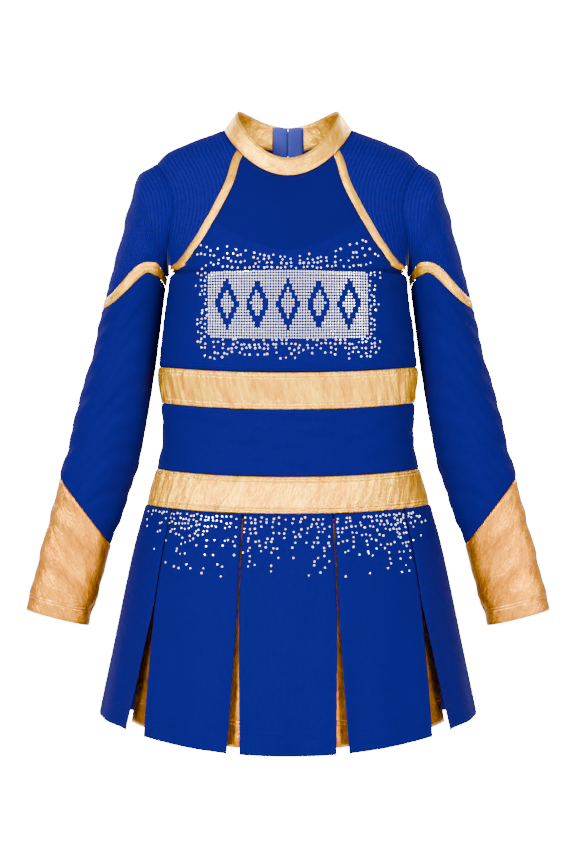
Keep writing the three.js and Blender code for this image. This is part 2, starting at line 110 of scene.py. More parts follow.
def profile(knots: list[tuple[float, float]], at: Array) -> Array:
    """Smooth curve through a few knots.

    Args:
        knots: Position and value pairs, in rising or falling order.
        at: Positions to read.

    Returns:
        The curve's values, held at its end values past its ends.
    """
    rising = knots if knots[0][0] < knots[-1][0] else knots[::-1]
    place = np.array([k[0] for k in rising], dtype=float)
    value = np.array([k[1] for k in rising], dtype=float)
    last = len(place) - 1
    at = np.clip(np.asarray(at, dtype=float), place[0], place[-1])
    i = np.clip(np.searchsorted(place, at, side="right") - 1, 0, last - 1)
    before = np.maximum(np.arange(last + 1) - 1, 0)
    after = np.minimum(np.arange(last + 1) + 1, last)
    slope = (value[after] - value[before]) / (place[after] - place[before])
    h = place[i + 1] - place[i]
    t = (at - place[i]) / h
    t2, t3 = t * t, t * t * t
    return ((2 * t3 - 3 * t2 + 1) * value[i] + (t3 - 2 * t2 + t) * h * slope[i]
            + (3 * t2 - 2 * t3) * value[i + 1] + (t3 - t2) * h * slope[i + 1])


def points_of(x: Array, y: Array, z: Array) -> Array:
    """Stacks three coordinate arrays into points."""
    x, y, z = np.broadcast_arrays(x, y, z)
    return np.stack([x, y, z], axis=-1)


def back_share(angle: Array) -> Array:
    """0 at the centre front, 1 at the centre back."""
    return (1 - np.cos(np.radians(angle))) / 2


def front_facing(angle: Array) -> Array:
    """1 at the centre front, fading to 0 at the side and behind."""
    return np.maximum(0.0, np.cos(np.radians(angle))) ** 2


@dataclass(frozen=True)
class DressForm:
    """The shape of the worn dress, as surfaces of two coordinates.

    The sizes are those of the frame, in millimetres. Angles are degrees round the body from
    the centre front towards the wearer's left.
    """

    shoulder_half: float = 132.0
    chest_half: float = 118.0
    band_half: float = 129.0
    waist_half: float = 127.0
    hip_half: float = 141.0
    hem_half: float = 187.0
    chest_front: float = 88.0
    waist_front: float = 80.0
    hem_front: float = 140.0
    hem_back: float = 132.0
    armpit: float = -125.0
    bodice: float = 92.0
    band: float = 36.0
    midriff: float = 65.0
    waistband: float = 36.0
    skirt_length: float = 208.0
    seam_drop: float = 7.0
    hem_drop: float = 20.0
    yoke: float = 110.0
    neck_half: float = 64.0
    neck_front: float = 48.0
    collar_half: float = 51.0
    collar_front: float = 44.0
    collar_back_top: float = 29.0
    zip_top_y: float = 54.0
    zip_bottom_y: float = 84.0
    armhole_spread: float = 28.0
    armhole_top: float = 0.5
    sleeve_outer: float = 340.0
    sleeve_width: float = 68.0
    deltoid: float = 60.0
    hang: float = 14.3
    arm_clear: float = 2.5
    seam_gap: float = 0.5
    cuff_side: float = 84.0
    cuff_peak: float = 52.0
    power: float = 0.87

    @property
    def band_top(self) -> float:
        """Level of the under-bust band's upper edge at the side."""
        return self.armpit - self.bodice

    @property
    def midriff_top(self) -> float:
        """Level of the midriff's upper edge at the side."""
        return self.band_top - self.band

    @property
    def waistband_top(self) -> float:
        """Level of the waistband's upper edge at the side."""
        return self.midriff_top - self.midriff

    @property
    def skirt_top(self) -> float:
        """Level of the waist seam at the side."""
        return self.waistband_top - self.waistband

    @property
    def zip_slope(self) -> float:
        """How far back the zip runs for each millimetre down."""
        return (self.zip_bottom_y - self.zip_top_y) / (self.collar_back_top - self.skirt_top)

    def zip_line(self, level: Array) -> Array:
        """Depth of the straight centre back at a level."""
        return self.zip_top_y + (self.collar_back_top - level) * self.zip_slope

    def _oval(self, angle: Array, half: Array, front: Array, back: Array, level: Array,
              power: Array) -> Array:
        """Points on a rounded oval with separate front and back depths."""
        s, c = np.sin(np.radians(angle)), np.cos(np.radians(angle))
        depth = np.where(c > 0, front, back) * np.abs(c) ** power
        return points_of(half * np.sign(s) * np.abs(s) ** power,
                         np.where(c > 0, -depth, depth), level)

    def _tube(self, angle: Array, level: Array, drop: Array) -> Array:
        """The body below the armpits."""
        half = profile([(self.armpit, self.chest_half), (self.band_top, self.band_half),
                        (self.midriff_top, self.waist_half - 0.5),
                        (lerp(self.midriff_top, self.waistband_top, 0.7), self.waist_half),
                        (self.skirt_top, self.hip_half)], level)
        front = profile([(self.armpit, self.chest_front), (self.band_top, self.chest_front - 3),
                         (self.midriff_top, self.waist_front),
                         (self.waistband_top, self.waist_front),
                         (self.skirt_top, self.waist_front + 8)], level)
        point = self._oval(angle, half, front, self.zip_line(level), level, self.power)
        point[..., 2] -= drop * front_facing(angle)
        return point

    def _ring(self, angle: Array, half: float, front: float, back: float, level: Array) -> Array:
        """A neck ring with a rising and falling level."""
        depth = lerp(front, back, back_share(angle))
        a = np.radians(angle)
        return points_of(half * np.sin(a), -depth * np.cos(a), level)

    def neck_ring(self, angle: Array) -> Array:
        """The neck seam."""
        a = np.radians(angle)
        level = 2.75 - 15.5 * np.cos(a) - 17.25 * np.cos(2 * a)
        return self._ring(angle, self.neck_half, self.neck_front, self.zip_line(1.0), level)

    def collar_ring(self, angle: Array) -> Array:
        """The collar's top edge."""
        a = np.radians(angle)
        level = 23 - 20.5 * np.cos(a) - 14.5 * np.cos(2 * a)
        return self._ring(angle, self.collar_half, self.collar_front,
                          self.zip_line(self.collar_back_top), level)

    def torso(self, angle: Array, up: Array) -> Array:
        """The body surface.

        Args:
            angle: Degrees round the body.
            up: Length from the armpit, negative below it, up to ``yoke`` at the neck.

        Returns:
            Points on the cloth's outer face.
        """
        angle, up = np.broadcast_arrays(np.asarray(angle, float), np.asarray(up, float))
        below = self._tube(angle, self.armpit + np.minimum(up, 0.0),
                           self.seam_drop * np.clip(-up / self.bodice, 0, 1))
        t = np.clip(up / self.yoke, 0, None)[..., None]
        sine = np.sin(np.radians(angle))
        outward = np.sign(sine) * sine ** 2 * self.shoulder_half

        def bend(share: float, front: float, front_z: float, back_z: float, side_z: float) -> Array:
            """One row of control points between the armpit and the neck."""
            level = lerp(lerp(front_z, back_z, back_share(angle)), side_z, sine ** 2)
            depth = lerp(front, self.zip_line(level), back_share(angle))
            return points_of(share * outward, -depth * np.cos(np.radians(angle)), level)

        above = ((1 - t) ** 3 * self._tube(angle, np.full_like(angle, self.armpit), 0.0)
                 + 3 * t * (1 - t) ** 2 * bend(1.25, self.chest_front - 6, -95, -85, 2)
                 + 3 * t * t * (1 - t) * bend(0.94, self.chest_front - 20, -62, -42, -4)
                 + t ** 3 * self.neck_ring(angle))
        return np.where(up[..., None] <= 0, below, above)

    def skirt(self, angle: Array, along: Array, setback: Array = 0.0) -> Array:
        """The skirt surface.

        Args:
            angle: Degrees round the body.
            along: 0 at the waist seam, 1 at the hem.
            setback: How far inside the skirt's face the surface lies.

        Returns:
            Points on the cloth's outer face.
        """
        share = profile([(0, 0), (0.22, 0.27), (0.7, 0.71), (1, 1)], along)
        half = lerp(self.hip_half, self.hem_half, share) - setback
        front = lerp(self.waist_front + 8, self.hem_front, share) - setback
        back = lerp(self.zip_line(self.skirt_top), self.hem_back, share) - setback
        length = self.skirt_length + self.hem_drop * np.cos(np.radians(angle)) ** 2
        level = self.skirt_top - self.seam_gap - along * length
        point = self._oval(angle, half, front, back, level, lerp(self.power, 0.95, along))
        point[..., 2] -= self.seam_drop * front_facing(angle)
        return point

    def armhole(self, turn: Array) -> tuple[Array, Array]:
        """The armhole's angle and height, for a share of a turn from the armpit."""
        angle = 90 - self.armhole_spread * np.sin(2 * np.pi * turn)
        return angle, self.yoke * self.armhole_top * (1 - np.cos(2 * np.pi * turn)) / 2

    def _arm_edges(self) -> tuple[Array, Array]:
        """Knots of the sleeve's outer and inner edge lines, as X and Z."""
        hang = math.radians(self.hang)
        down = np.array([math.sin(hang), -math.cos(hang)])
        inward = np.array([-math.cos(hang), -math.sin(hang)])
        start = np.array([self.chest_half + self.deltoid, self.armpit - 5])
        top = self.armpit + 111
        outer = [np.array([self.shoulder_half - 1, top]),
                 np.array([self.shoulder_half + 18, top - 13]),
                 np.array([lerp(self.shoulder_half, start[0], 0.6), top - 46])]

        def beside(level: float) -> Array:
            """A place just clear of the body's side at a height."""
            return np.array([float(self._tube(90.0, level, 0.0)[..., 0]) + self.arm_clear, level])

        inner = [beside(self.armpit - 2.5), beside(self.armpit - 4.5), beside(self.armpit - 9)]
        widths = [None, 67, 73, 66.5, self.sleeve_width - 3]
        for quarter, width in enumerate(widths):
            edge = start + down * self.sleeve_outer * quarter / 4
            outer.append(edge)
            inner.append(beside(self.armpit - 22) if width is None else edge + inward * width)
        return np.array(outer), np.array(inner)

    def sleeve(self, turn: Array, section: Array) -> Array:
        """The left sleeve's surface.

        Args:
            turn: Degrees round the sleeve from its outer edge towards the front.
            section: 0 at the armhole to 7 at the cuff's end.

        Returns:
            Points on the cloth's outer face.
        """
        outer, inner = self._arm_edges()
        knots = range(len(outer))
        ox = profile([(k, outer[k, 0]) for k in knots], section)
        oz = profile([(k, outer[k, 1]) for k in knots], section)
        ix = profile([(k, inner[k, 0]) for k in knots], section)
        iz = profile([(k, inner[k, 1]) for k in knots], section)
        depth = profile(list(enumerate([45, 45, 42, 38, 33, 29, 25, 22])), section)
        a = np.radians(turn)
        tube = points_of((ox + ix) / 2 + (ox - ix) / 2 * np.cos(a), -depth * np.sin(a),
                         (oz + iz) / 2 + (oz - iz) / 2 * np.cos(a))
        edge = self.torso(*self.armhole((180 - np.asarray(turn)) / 360))
        edge[..., 0] += self.seam_gap
        near = smooth(section)[..., None]
        return lerp(edge, tube, near)

    def trim_section(self, turn: Array) -> Array:
        """Section at which the gold band crosses the sleeve."""
        return 3.3 - 1.6 * back_share(turn) ** 1.5

    def cuff_section(self, turn: Array) -> Array:
        """Section at which the cuff's pointed seam crosses the sleeve."""
        rise = self.cuff_side + self.cuff_peak * (1 - back_share(turn))
        return 7 - rise / (self.sleeve_outer / 4)


FORM = DressForm()


def outward_normals(surface: Surface, u: Array, v: Array) -> Array:
    """The way a surface faces, by small steps in its two coordinates."""
    step = 1e-3
    du = surface(u + step, v) - surface(u - step, v)
    dv = surface(u, v + step) - surface(u, v - step)
    n = np.cross(du, dv)
    return n / np.maximum(np.linalg.norm(n, axis=-1, keepdims=True), 1e-12)


def step_across(surface: Surface, u: Array, v: Array, slope: Array, width: float) -> Array:
    """A change in u that moves ``width`` square to a line which runs du/dv = slope."""
    step = 1e-3
    pu = (surface(u + step, v) - surface(u - step, v)) / (2 * step)
    pv = (surface(u, v + step) - surface(u, v - step)) / (2 * step)
    along = pu * np.asarray(slope)[..., None] + pv
    square = np.linalg.norm(np.cross(pu, along), axis=-1) / np.linalg.norm(along, axis=-1)
    return width / square


def noise(u: Array, v: Array, scale: float, seed: int, waves: int = 10) -> Array:
    """Smooth, repeatable unevenness between about -1 and 1.

    Args:
        u: First coordinate, in millimetres.
        v: Second coordinate, in millimetres.
        scale: Size of its features, in millimetres.
        seed: Number that picks the pattern.
        waves: How many waves are summed.

    Returns:
        The unevenness at each point.
    """
    rng = np.random.default_rng(seed)
    total = np.zeros(np.broadcast(u, v).shape)
    for _ in range(waves):
        turn = rng.uniform(0, 2 * np.pi)
        count = 2 * np.pi / (scale * rng.uniform(0.7, 2.2))
        total += np.sin(count * (u * np.cos(turn) + v * np.sin(turn)) + rng.uniform(0, 2 * np.pi))
    return total / math.sqrt(waves) / 1.2


@dataclass
class ClothPiece:
    """One cut piece of cloth: a thin shell on a surface, with its relief and its finish.

    Attributes:
        name: The piece's name.
        surface: The surface that its outer face follows.
        u: Grid of first coordinates, one row for each v.
        v: Grid of second coordinates.
        body: Frame body that it moves with.
        slot: Material slot of the record; not used.
        replaces: Frame nodes that it stands for.
        material: Its finish.
        thickness: Cloth thickness in millimetres.
        lift: How far its outer face stands proud, in millimetres.
        relief: Function of the arc lengths across and along that gives folds, in millimetres.
        wrap: Whether the last column joins the first.
        hold: How the cloth is held; not used.
        crease: Width of the turned-in edge on each side, in millimetres.
        mirror: -1 to mirror the surface in X.
        blend: Another body, and the points where the bend from it starts and ends; when it is
            given, the piece is left unattached with its placement baked in and does not bend.
        hem_only: Whether its stitches are measured from the last row alone.
    """

    name: str
    surface: Surface
    u: Array
    v: Array
    body: str
    slot: str
    replaces: tuple[str, ...]
    material: bpy.types.Material
    thickness: float = 1.0
    lift: float = 0.0
    relief: Callable[[Array, Array, Array], Array] | None = None
    wrap: bool = False
    hold: Hold = Hold.STRETCHED
    crease: float = 1.2
    mirror: int = 1
    blend: tuple[str, tuple[float, float, float], tuple[float, float, float]] | None = None
    hem_only: bool = False

    def _arcs(self, points: Array) -> tuple[Array, Array]:
        """Arc lengths across and along the grid."""
        across = np.linalg.norm(np.diff(points, axis=1), axis=-1)
        across = np.concatenate([np.zeros((len(points), 1)), np.cumsum(across, axis=1)], axis=1)
        along = np.linalg.norm(np.diff(points, axis=0), axis=-1)
        along = np.concatenate([np.zeros((1, points.shape[1])), np.cumsum(along, axis=0)])
        return across, along

    def build(self) -> bpy.types.Object:
        """Builds the piece, dresses it and places it, hiding the frame parts that it stands for.

        Returns:
            The finished object.
        """
        base = self.surface(self.u, self.v)
        normals = outward_normals(self.surface, self.u, self.v)
        across, along = self._arcs(base)
        rows, columns = self.u.shape
        height = np.full((rows, columns), self.lift, dtype=float)
        if self.relief is not None:
            height += self.relief(across, along, base)
        edge = np.minimum(along, along[-1:, :] - along)
        if not self.wrap:
            edge = np.minimum(edge, np.minimum(across, across[:, -1:] - across))
        round_off = np.clip(1 - edge / self.crease, 0, 1) ** 2
        outer = base + normals * (height - 0.45 * self.thickness * round_off)[..., None]
        inner = base + normals * (height - self.thickness
                                  + 0.45 * self.thickness * round_off)[..., None]
        if self.hem_only:
            edge = along[-1:, :] - along
        return self._mesh(outer, inner, across, along, edge)

    def _mesh(self, outer: Array, inner: Array, across: Array, along: Array,
              edge: Array) -> bpy.types.Object:
        """Joins the two faces into one closed shell with arc-length attributes."""
        rows, columns = self.u.shape
        count = columns - 1 if self.wrap else columns
        grid = np.arange(rows * count).reshape(rows, count)
        grid = np.concatenate([grid, grid[:, :1]], axis=1) if self.wrap else grid
        far = rows * count

        def strip(a: Array, b: Array, c: Array, d: Array) -> Array:
            """Four-cornered faces from four rows of corner numbers."""
            return np.stack([a.ravel(), b.ravel(), c.ravel(), d.ravel()], axis=1)

        faces = [strip(grid[:-1, :-1], grid[:-1, 1:], grid[1:, 1:], grid[1:, :-1]),
                 strip(grid[:-1, :-1], grid[1:, :-1], grid[1:, 1:], grid[:-1, 1:]) + far,
                 strip(grid[0, :-1], grid[0, :-1] + far, grid[0, 1:] + far, grid[0, 1:]),
                 strip(grid[-1, :-1], grid[-1, 1:], grid[-1, 1:] + far, grid[-1, :-1] + far)]
        if not self.wrap:
            faces += [strip(grid[:-1, 0], grid[1:, 0], grid[1:, 0] + far, grid[:-1, 0] + far),
                      strip(grid[:-1, -1], grid[:-1, -1] + far, grid[1:, -1] + far, grid[1:, -1])]
        face = np.concatenate(faces)
        points = np.concatenate([outer[:, :count].reshape(-1, 3), inner[:, :count].reshape(-1, 3)])
        corners = points[face[: (rows - 1) * (columns - 1)]]
        turn = np.cross(corners[:, 1] - corners[:, 0], corners[:, 2] - corners[:, 0])
        outside = (outer - inner)[:, :count].reshape(-1, 3)[face[: len(corners), 0]]
        if np.sum(turn * outside) < 0:
            face = face[:, ::-1]
        if self.mirror < 0:
            points = points * np.array([-1, 1, 1])
            face = face[:, ::-1]
        obj = new_mesh(self.name, points * MM, face)
        for label, values in (("across", across), ("along", along), ("edge", edge)):
            data = np.tile(values[:, :count].ravel(), 2) * MM
            put_attribute(obj, label, data)
        inside = np.concatenate([np.zeros(far), np.ones(far)])
        put_attribute(obj, "inside", inside)
        obj.data.polygons.foreach_set("use_smooth", np.ones(len(face), dtype=bool))
        obj.data.materials.append(self.material)
        size = (float(across[:, -1].max()) * MM, float(along[-1].max()) * MM)
        self._declare(obj, size)
        return obj

    def _declare(self, obj: bpy.types.Object, size: tuple[float, float]) -> None:
        """Attaches the piece to its body, or bakes its placement in when it has a blend, hides the
        parts it replaces and logs its flat size.
        """
        if self.blend is None:
            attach(obj, self.body)
        else:
            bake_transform(obj)
        if self.replaces:
            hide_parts(*self.replaces)
        LOG.info("%s: %d x %d mm flat, %d faces", self.name, size[0] * 1000, size[1] * 1000,
                 len(obj.data.polygons))


def new_mesh(name: str, points: Array, faces: Array) -> bpy.types.Object:
    """Makes an object from points in metres and equal faces."""
    mesh = bpy.data.meshes.new(name)
    mesh.from_pydata(np.asarray(points).tolist(), [], np.asarray(faces).tolist())
    mesh.validate()
    obj = bpy.data.objects.new(name, mesh)
    bpy.context.scene.collection.objects.link(obj)
    return obj


def put_attribute(obj: bpy.types.Object, name: str, values: Array) -> None:
    """Stores one number for each vertex."""
    layer = obj.data.attributes.new(name, "FLOAT", "POINT")
    layer.data.foreach_set("value", np.asarray(values, dtype=np.float32))


def deselect() -> None:
    """Leaves nothing selected."""
    for obj in bpy.context.selected_objects:
        obj.select_set(False)


class Wiring:
    """Short ways to place and join shader nodes in one tree."""

    def __init__(self, tree: bpy.types.NodeTree) -> None:
        """Keeps the tree."""
        self.tree = tree

    def add(self, kind: str, **settings: object) -> bpy.types.Node:
        """Adds a node and sets its properties."""
        node = self.tree.nodes.new(kind)
        for key, value in settings.items():
            setattr(node, key, value)
        return node

    def join(self, source: object, target: object) -> None:
        """Links an output to an input, or sets the input to a plain value."""
        if isinstance(source, bpy.types.NodeSocket):
            self.tree.links.new(source, target)
        else:
            target.default_value = source

    def math(self, operation: str, *values: object) -> bpy.types.NodeSocket:
        """A math node of the given operation."""
        node = self.add("ShaderNodeMath", operation=operation)
        for place, value in enumerate(values):
            self.join(value, node.inputs[place])
        return node.outputs[0]

    def attribute(self, name: str) -> bpy.types.NodeSocket:
        """Reads a number stored on the mesh."""
        return self.add("ShaderNodeAttribute", attribute_name=name).outputs["Fac"]

    def noise(self, vector: object, scale: float, detail: float = 2.0) -> bpy.types.NodeSocket:
        """Noise over a vector."""
        node = self.add("ShaderNodeTexNoise")
        self.join(vector, node.inputs["Vector"])
        node.inputs["Scale"].default_value = scale
        node.inputs["Detail"].default_value = detail
        return node.outputs["Fac"]

    def vector(self, x: object, y: object, z: object) -> bpy.types.NodeSocket:
        """Joins three numbers."""
        node = self.add("ShaderNodeCombineXYZ")
        for place, value in enumerate((x, y, z)):
            self.join(value, node.inputs[place])
        return node.outputs[0]

    def mix(self, share: object, low: object, high: object) -> bpy.types.NodeSocket:
        """Mixes two colours."""
        node = self.add("ShaderNodeMix", data_type="RGBA")
        self.join(share, node.inputs[0])
        self.join(low, node.inputs[6])
        self.join(high, node.inputs[7])
        return node.outputs[2]

    def group(self, tree: bpy.types.NodeTree, **inputs: object) -> bpy.types.Node:
        """Places a shared effect with its own values."""
        node = self.add("ShaderNodeGroup", node_tree=tree)
        for key, value in inputs.items():
            self.join(value, node.inputs[key.replace("_", " ").capitalize()])
        return node


def effect(name: str, inputs: dict[str, float],
           outputs: list[str]) -> tuple[Wiring, object, object]:
    """Starts a shared effect.

    Args:
        name: The group's name.
        inputs: Its inputs with their usual values.
        outputs: Its outputs.

    Returns:
        Its wiring, its input node and its output node.
    """
    tree = bpy.data.node_groups.new(name, "ShaderNodeTree")
    for key, value in inputs.items():
        socket = tree.interface.new_socket(name=key, in_out="INPUT", socket_type="NodeSocketFloat")
        socket.default_value = value
    for key in outputs:
        tree.interface.new_socket(name=key, in_out="OUTPUT", socket_type="NodeSocketFloat")
    wire = Wiring(tree)
    return wire, wire.add("NodeGroupInput"), wire.add("NodeGroupOutput")


def knit_effect() -> bpy.types.NodeTree:
    """Columns of small V-shaped loops, laid by the cloth's own arc lengths."""
    wire, given, result = effect("knit_loops", {"Pitch": 0.001}, ["Height", "Shade"])
    column = wire.math("DIVIDE", wire.attribute("across"), given.outputs["Pitch"])
    row = wire.math("DIVIDE", wire.attribute("along"), given.outputs["Pitch"])
    inside = wire.math("ABSOLUTE", wire.math("SUBTRACT", wire.math("FRACT", column), 0.5))
    leg = wire.math("SINE", wire.math("MULTIPLY", wire.math("ADD", row, inside), 2 * math.pi))
    rib = wire.math("COSINE", wire.math("MULTIPLY", inside, math.pi))
    height = wire.math("MULTIPLY", wire.math("MULTIPLY_ADD", leg, 0.25, 0.75), rib)
    wire.join(height, result.inputs["Height"])
    place = wire.vector(wire.attribute("across"), wire.attribute("along"), 0.0)
    streak = wire.noise(wire.vector(wire.math("MULTIPLY", wire.attribute("across"), 6.0),
                                    wire.attribute("along"), 0.0), 120.0)
    shade = wire.math("ADD", wire.math("MULTIPLY", streak, 0.6),
                      wire.math("MULTIPLY", wire.noise(place, 35.0, 4.0), 0.4))
    wire.join(shade, result.inputs["Shade"])
    return wire.tree


def stitch_effect() -> bpy.types.NodeTree:
    """Two rows of machine stitches at a distance from an edge."""
    wire, given, result = effect(
        "stitch_rows", {"Edge": 0.0, "Run": 0.0, "Offset": 0.002, "Spread": 0.003, "Pitch": 0.0026},
        ["Thread", "Dip"])
    first = wire.math("ABSOLUTE",
                      wire.math("SUBTRACT", given.outputs["Edge"], given.outputs["Offset"]))
    second = wire.math("ABSOLUTE", wire.math("SUBTRACT", wire.math(
        "SUBTRACT", given.outputs["Edge"], given.outputs["Offset"]), given.outputs["Spread"]))
    nearest = wire.math("MINIMUM", first, second)
    line = wire.math("LESS_THAN", nearest, 0.00035)
    dash = wire.math("LESS_THAN", wire.math("FRACT", wire.math(
        "DIVIDE", given.outputs["Run"], given.outputs["Pitch"])), 0.68)
    wire.join(wire.math("MULTIPLY", line, dash), result.inputs["Thread"])
    fall = wire.math("SUBTRACT", 1.0, wire.math("MULTIPLY", nearest, 900.0))
    wire.join(wire.math("MAXIMUM", fall, 0.0), result.inputs["Dip"])
    return wire.tree


def crinkle_effect() -> bpy.types.NodeTree:
    """Creases of a foil print, stretched across the cloth or along it."""
    wire, given, result = effect(
        "foil_crinkle", {"Across": 90.0, "Along": 30.0}, ["Height", "Shade"])
    place = wire.vector(
        wire.math("MULTIPLY", wire.attribute("across"), given.outputs["Across"]),
        wire.math("MULTIPLY", wire.attribute("along"), given.outputs["Along"]), 0.0)
    broad = wire.noise(place, 1.0, 3.0)
    fine = wire.noise(place, 5.0, 4.0)
    ridge = wire.math("ABSOLUTE", wire.math("SUBTRACT", fine, 0.5))
    wire.join(wire.math("ADD", broad, wire.math("MULTIPLY", ridge, 0.5)), result.inputs["Height"])
    # Shade follows the creases' own noise, to paint them darker and the ridges brighter.
    wire.join(wire.math("ADD", wire.math("MULTIPLY", broad, 0.55),
                        wire.math("MULTIPLY", fine, 0.45)),
              result.inputs["Shade"])
    return wire.tree


KNIT = knit_effect()
STITCH = stitch_effect()
CRINKLE = crinkle_effect()
Colour = tuple[float, float, float, float]


def principled(name: str) -> tuple[bpy.types.Material, Wiring, bpy.types.Node]:
    """A new material with its Principled shader."""
    material = bpy.data.materials.new(name)
    material.use_nodes = True
    material.node_tree.nodes.clear()
    wire = Wiring(material.node_tree)
    shader = wire.add("ShaderNodeBsdfPrincipled")
    output = wire.add("ShaderNodeOutputMaterial")
    wire.join(shader.outputs[0], output.inputs["Surface"])
    return material, wire, shader


def bump(wire: Wiring, height: object, distance: float,
         under: object = None) -> bpy.types.NodeSocket:
    """A bump of the given depth in metres, over another one."""
    node = wire.add("ShaderNodeBump")
    node.inputs["Strength"].default_value = 1.0
    node.inputs["Distance"].default_value = distance
    wire.join(height, node.inputs["Height"])
    if under is not None:
        wire.join(under, node.inputs["Normal"])
    return node.outputs[0]


@dataclass(frozen=True)
class KnitFinish:
    """Matte stretch knit.

    Attributes:
        name: The material's name.
        light: Colour of the loops' tops, where light is painted on, and of the paler random
            streaks.
        dark: Colour of the painted shade in the hollows between the loops, and of the darker random
            streaks.
        pitch: Loop width in metres.
        sheen: Soft glow at grazing angles.
        alpha: Cover, below 1 for sheer cloth.
        ripple: Strength of the fine level ripples of doubled sheer cloth.
        stitched: Whether rows of stitches run beside its edges.
        offset: Distance of the first row from the edge, in metres.
        spread: Distance between the rows, in metres.
        lined: Whether the cloth looks deeper where no lining lies behind it.
    """

    name: str
    light: Colour
    dark: Colour
    pitch: float = 0.0011
    sheen: float = 0.0
    alpha: float = 1.0
    ripple: float = 0.0
    stitched: bool = True
    offset: float = 0.002
    spread: float = 0.003
    lined: bool = False

    def material(self) -> bpy.types.Material:
        """Builds the finish."""
        material, wire, shader = principled(self.name)
        knit = wire.group(KNIT, pitch=self.pitch)
        # Painted shade: the colour darkens in the hollows between the loops, by their height, and
        # along random streaks of tone.
        shade = wire.math("MULTIPLY_ADD", knit.outputs["Height"], 0.45,
                          wire.math("MULTIPLY", knit.outputs["Shade"], 0.6))
        if self.ripple:
            wave = wire.add("ShaderNodeTexWave", bands_direction="Y", wave_profile="SIN")
            wire.join(wire.vector(wire.attribute("across"), wire.attribute("along"), 0.0),
                      wave.inputs["Vector"])
            wave.inputs["Scale"].default_value = 75.0
            wave.inputs["Distortion"].default_value = 3.5
            wave.inputs["Detail Scale"].default_value = 0.35
            shade = wire.math("ADD", shade, wire.math("MULTIPLY", wave.outputs["Fac"], self.ripple))
        colour = wire.mix(shade, self.dark, self.light)
        normal = bump(wire, knit.outputs["Height"], 0.00012)
        if self.lined:
            lining = wire.attribute("lined")
            bare = tuple(c * 0.78 for c in self.light[:3]) + (1.0,)
            colour = wire.mix(lining, wire.mix(shade, self.dark, bare), colour)
            normal = bump(wire, lining, 0.0006, normal)
        if self.stitched:
            rows = wire.group(STITCH, edge=wire.attribute("edge"), offset=self.offset,
                              spread=self.spread, run=wire.math(
                                  "ADD", wire.attribute("across"), wire.attribute("along")))
            colour = wire.mix(wire.math("MULTIPLY", rows.outputs["Thread"], 0.45), colour,
                              self.light)
            normal = bump(wire, wire.math("MULTIPLY", rows.outputs["Dip"], -1.0), 0.0003, normal)
        wire.join(colour, shader.inputs["Base Color"])
        wire.join(normal, shader.inputs["Normal"])
        shader.inputs["Roughness"].default_value = 0.82
        shader.inputs["Specular IOR Level"].default_value = 0.03
        shader.inputs["Sheen Weight"].default_value = self.sheen
        shader.inputs["Sheen Roughness"].default_value = 0.45
        shader.inputs["Sheen Tint"].default_value = self.light
        shader.inputs["Alpha"].default_value = self.alpha
        return material


@dataclass(frozen=True)
class FoilFinish:
    """Metallic foil printed on stretch knit.

    Attributes:
        name: The material's name.
        bright: Colour of the painted highlight on the foil's ridges.
        deep: Colour of the painted shade in its creases.
        across: Crease count for each metre across the cloth.
        along: Crease count for each metre along it.
        depth: Crease depth in metres.
        offset: Distance of the first stitch row from the edge, in metres.
        spread: Distance between the stitch rows, in metres.
        roughness: Blur of its reflections.
    """

    name: str
    bright: Colour = (1.0, 0.5, 0.0, 1.0)
    deep: Colour = (0.6, 0.2, 0.0, 1.0)
    across: float = 95.0
    along: float = 22.0
    depth: float = 0.0045
    offset: float = 0.0022
    spread: float = 0.003
    roughness: float = 0.34

    def material(self) -> bpy.types.Material:
        """Builds the finish."""
        material, wire, shader = principled(self.name)
        foil = wire.group(CRINKLE, across=self.across, along=self.along)
        knit = wire.group(KNIT, pitch=0.0009)
        rows = wire.group(STITCH, edge=wire.attribute("edge"), offset=self.offset,
                          spread=self.spread, run=wire.math(
                              "ADD", wire.attribute("across"), wire.attribute("along")))
        spread = wire.add("ShaderNodeMapRange")
        wire.join(foil.outputs["Shade"], spread.inputs[0])
        for place, value in ((1, 0.36), (2, 0.6), (3, 0.0), (4, 1.0)):
            spread.inputs[place].default_value = value
        # Painted shade in the creases and painted highlight on the ridges.
        colour = wire.mix(spread.outputs[0], self.deep, self.bright)
        colour = wire.mix(wire.math("MULTIPLY", rows.outputs["Thread"], 0.55), colour,
                          (0.5, 0.27, 0.07, 1.0))
        wire.join(colour, shader.inputs["Base Color"])
        normal = bump(wire, knit.outputs["Height"], 0.00006)
        normal = bump(wire, foil.outputs["Height"], self.depth, normal)
        normal = bump(wire, wire.math("MULTIPLY", rows.outputs["Dip"], -1.0), 0.00035, normal)
        wire.join(normal, shader.inputs["Normal"])
        wire.join(wire.math("MULTIPLY_ADD", foil.outputs["Shade"], -0.16, self.roughness + 0.1),
                  shader.inputs["Roughness"])
        shader.inputs["Metallic"].default_value = 0.9
        shader.inputs["Specular IOR Level"].default_value = 0.05
        return material


@dataclass(frozen=True)
class PlainFinish:
    """Even finish with a faint unevenness, for metal, plastic, thread and lining.

    Attributes:
        name: The material's name.
        colour: Base colour.
        roughness: Blur of its reflections.
        metallic: 1 for metal.
        grain: Bump depth of its fine grain, in metres.
        coat: Strength of a clear coat.
    """

    name: str
    colour: Colour
    roughness: float = 0.5
    metallic: float = 0.0
    grain: float = 0.00002
    coat: float = 0.0

    def material(self) -> bpy.types.Material:
        """Builds the finish."""
        material, wire, shader = principled(self.name)
        place = wire.add("ShaderNodeTexCoord").outputs["Object"]
        speck = wire.noise(place, 900.0)
        darker = tuple(c * 0.82 for c in self.colour[:3]) + (1.0,)
        wire.join(wire.mix(speck, darker, self.colour), shader.inputs["Base Color"])
        wire.join(bump(wire, speck, self.grain), shader.inputs["Normal"])
        shader.inputs["Roughness"].default_value = self.roughness
        shader.inputs["Metallic"].default_value = self.metallic
        shader.inputs["Coat Weight"].default_value = self.coat
        return material


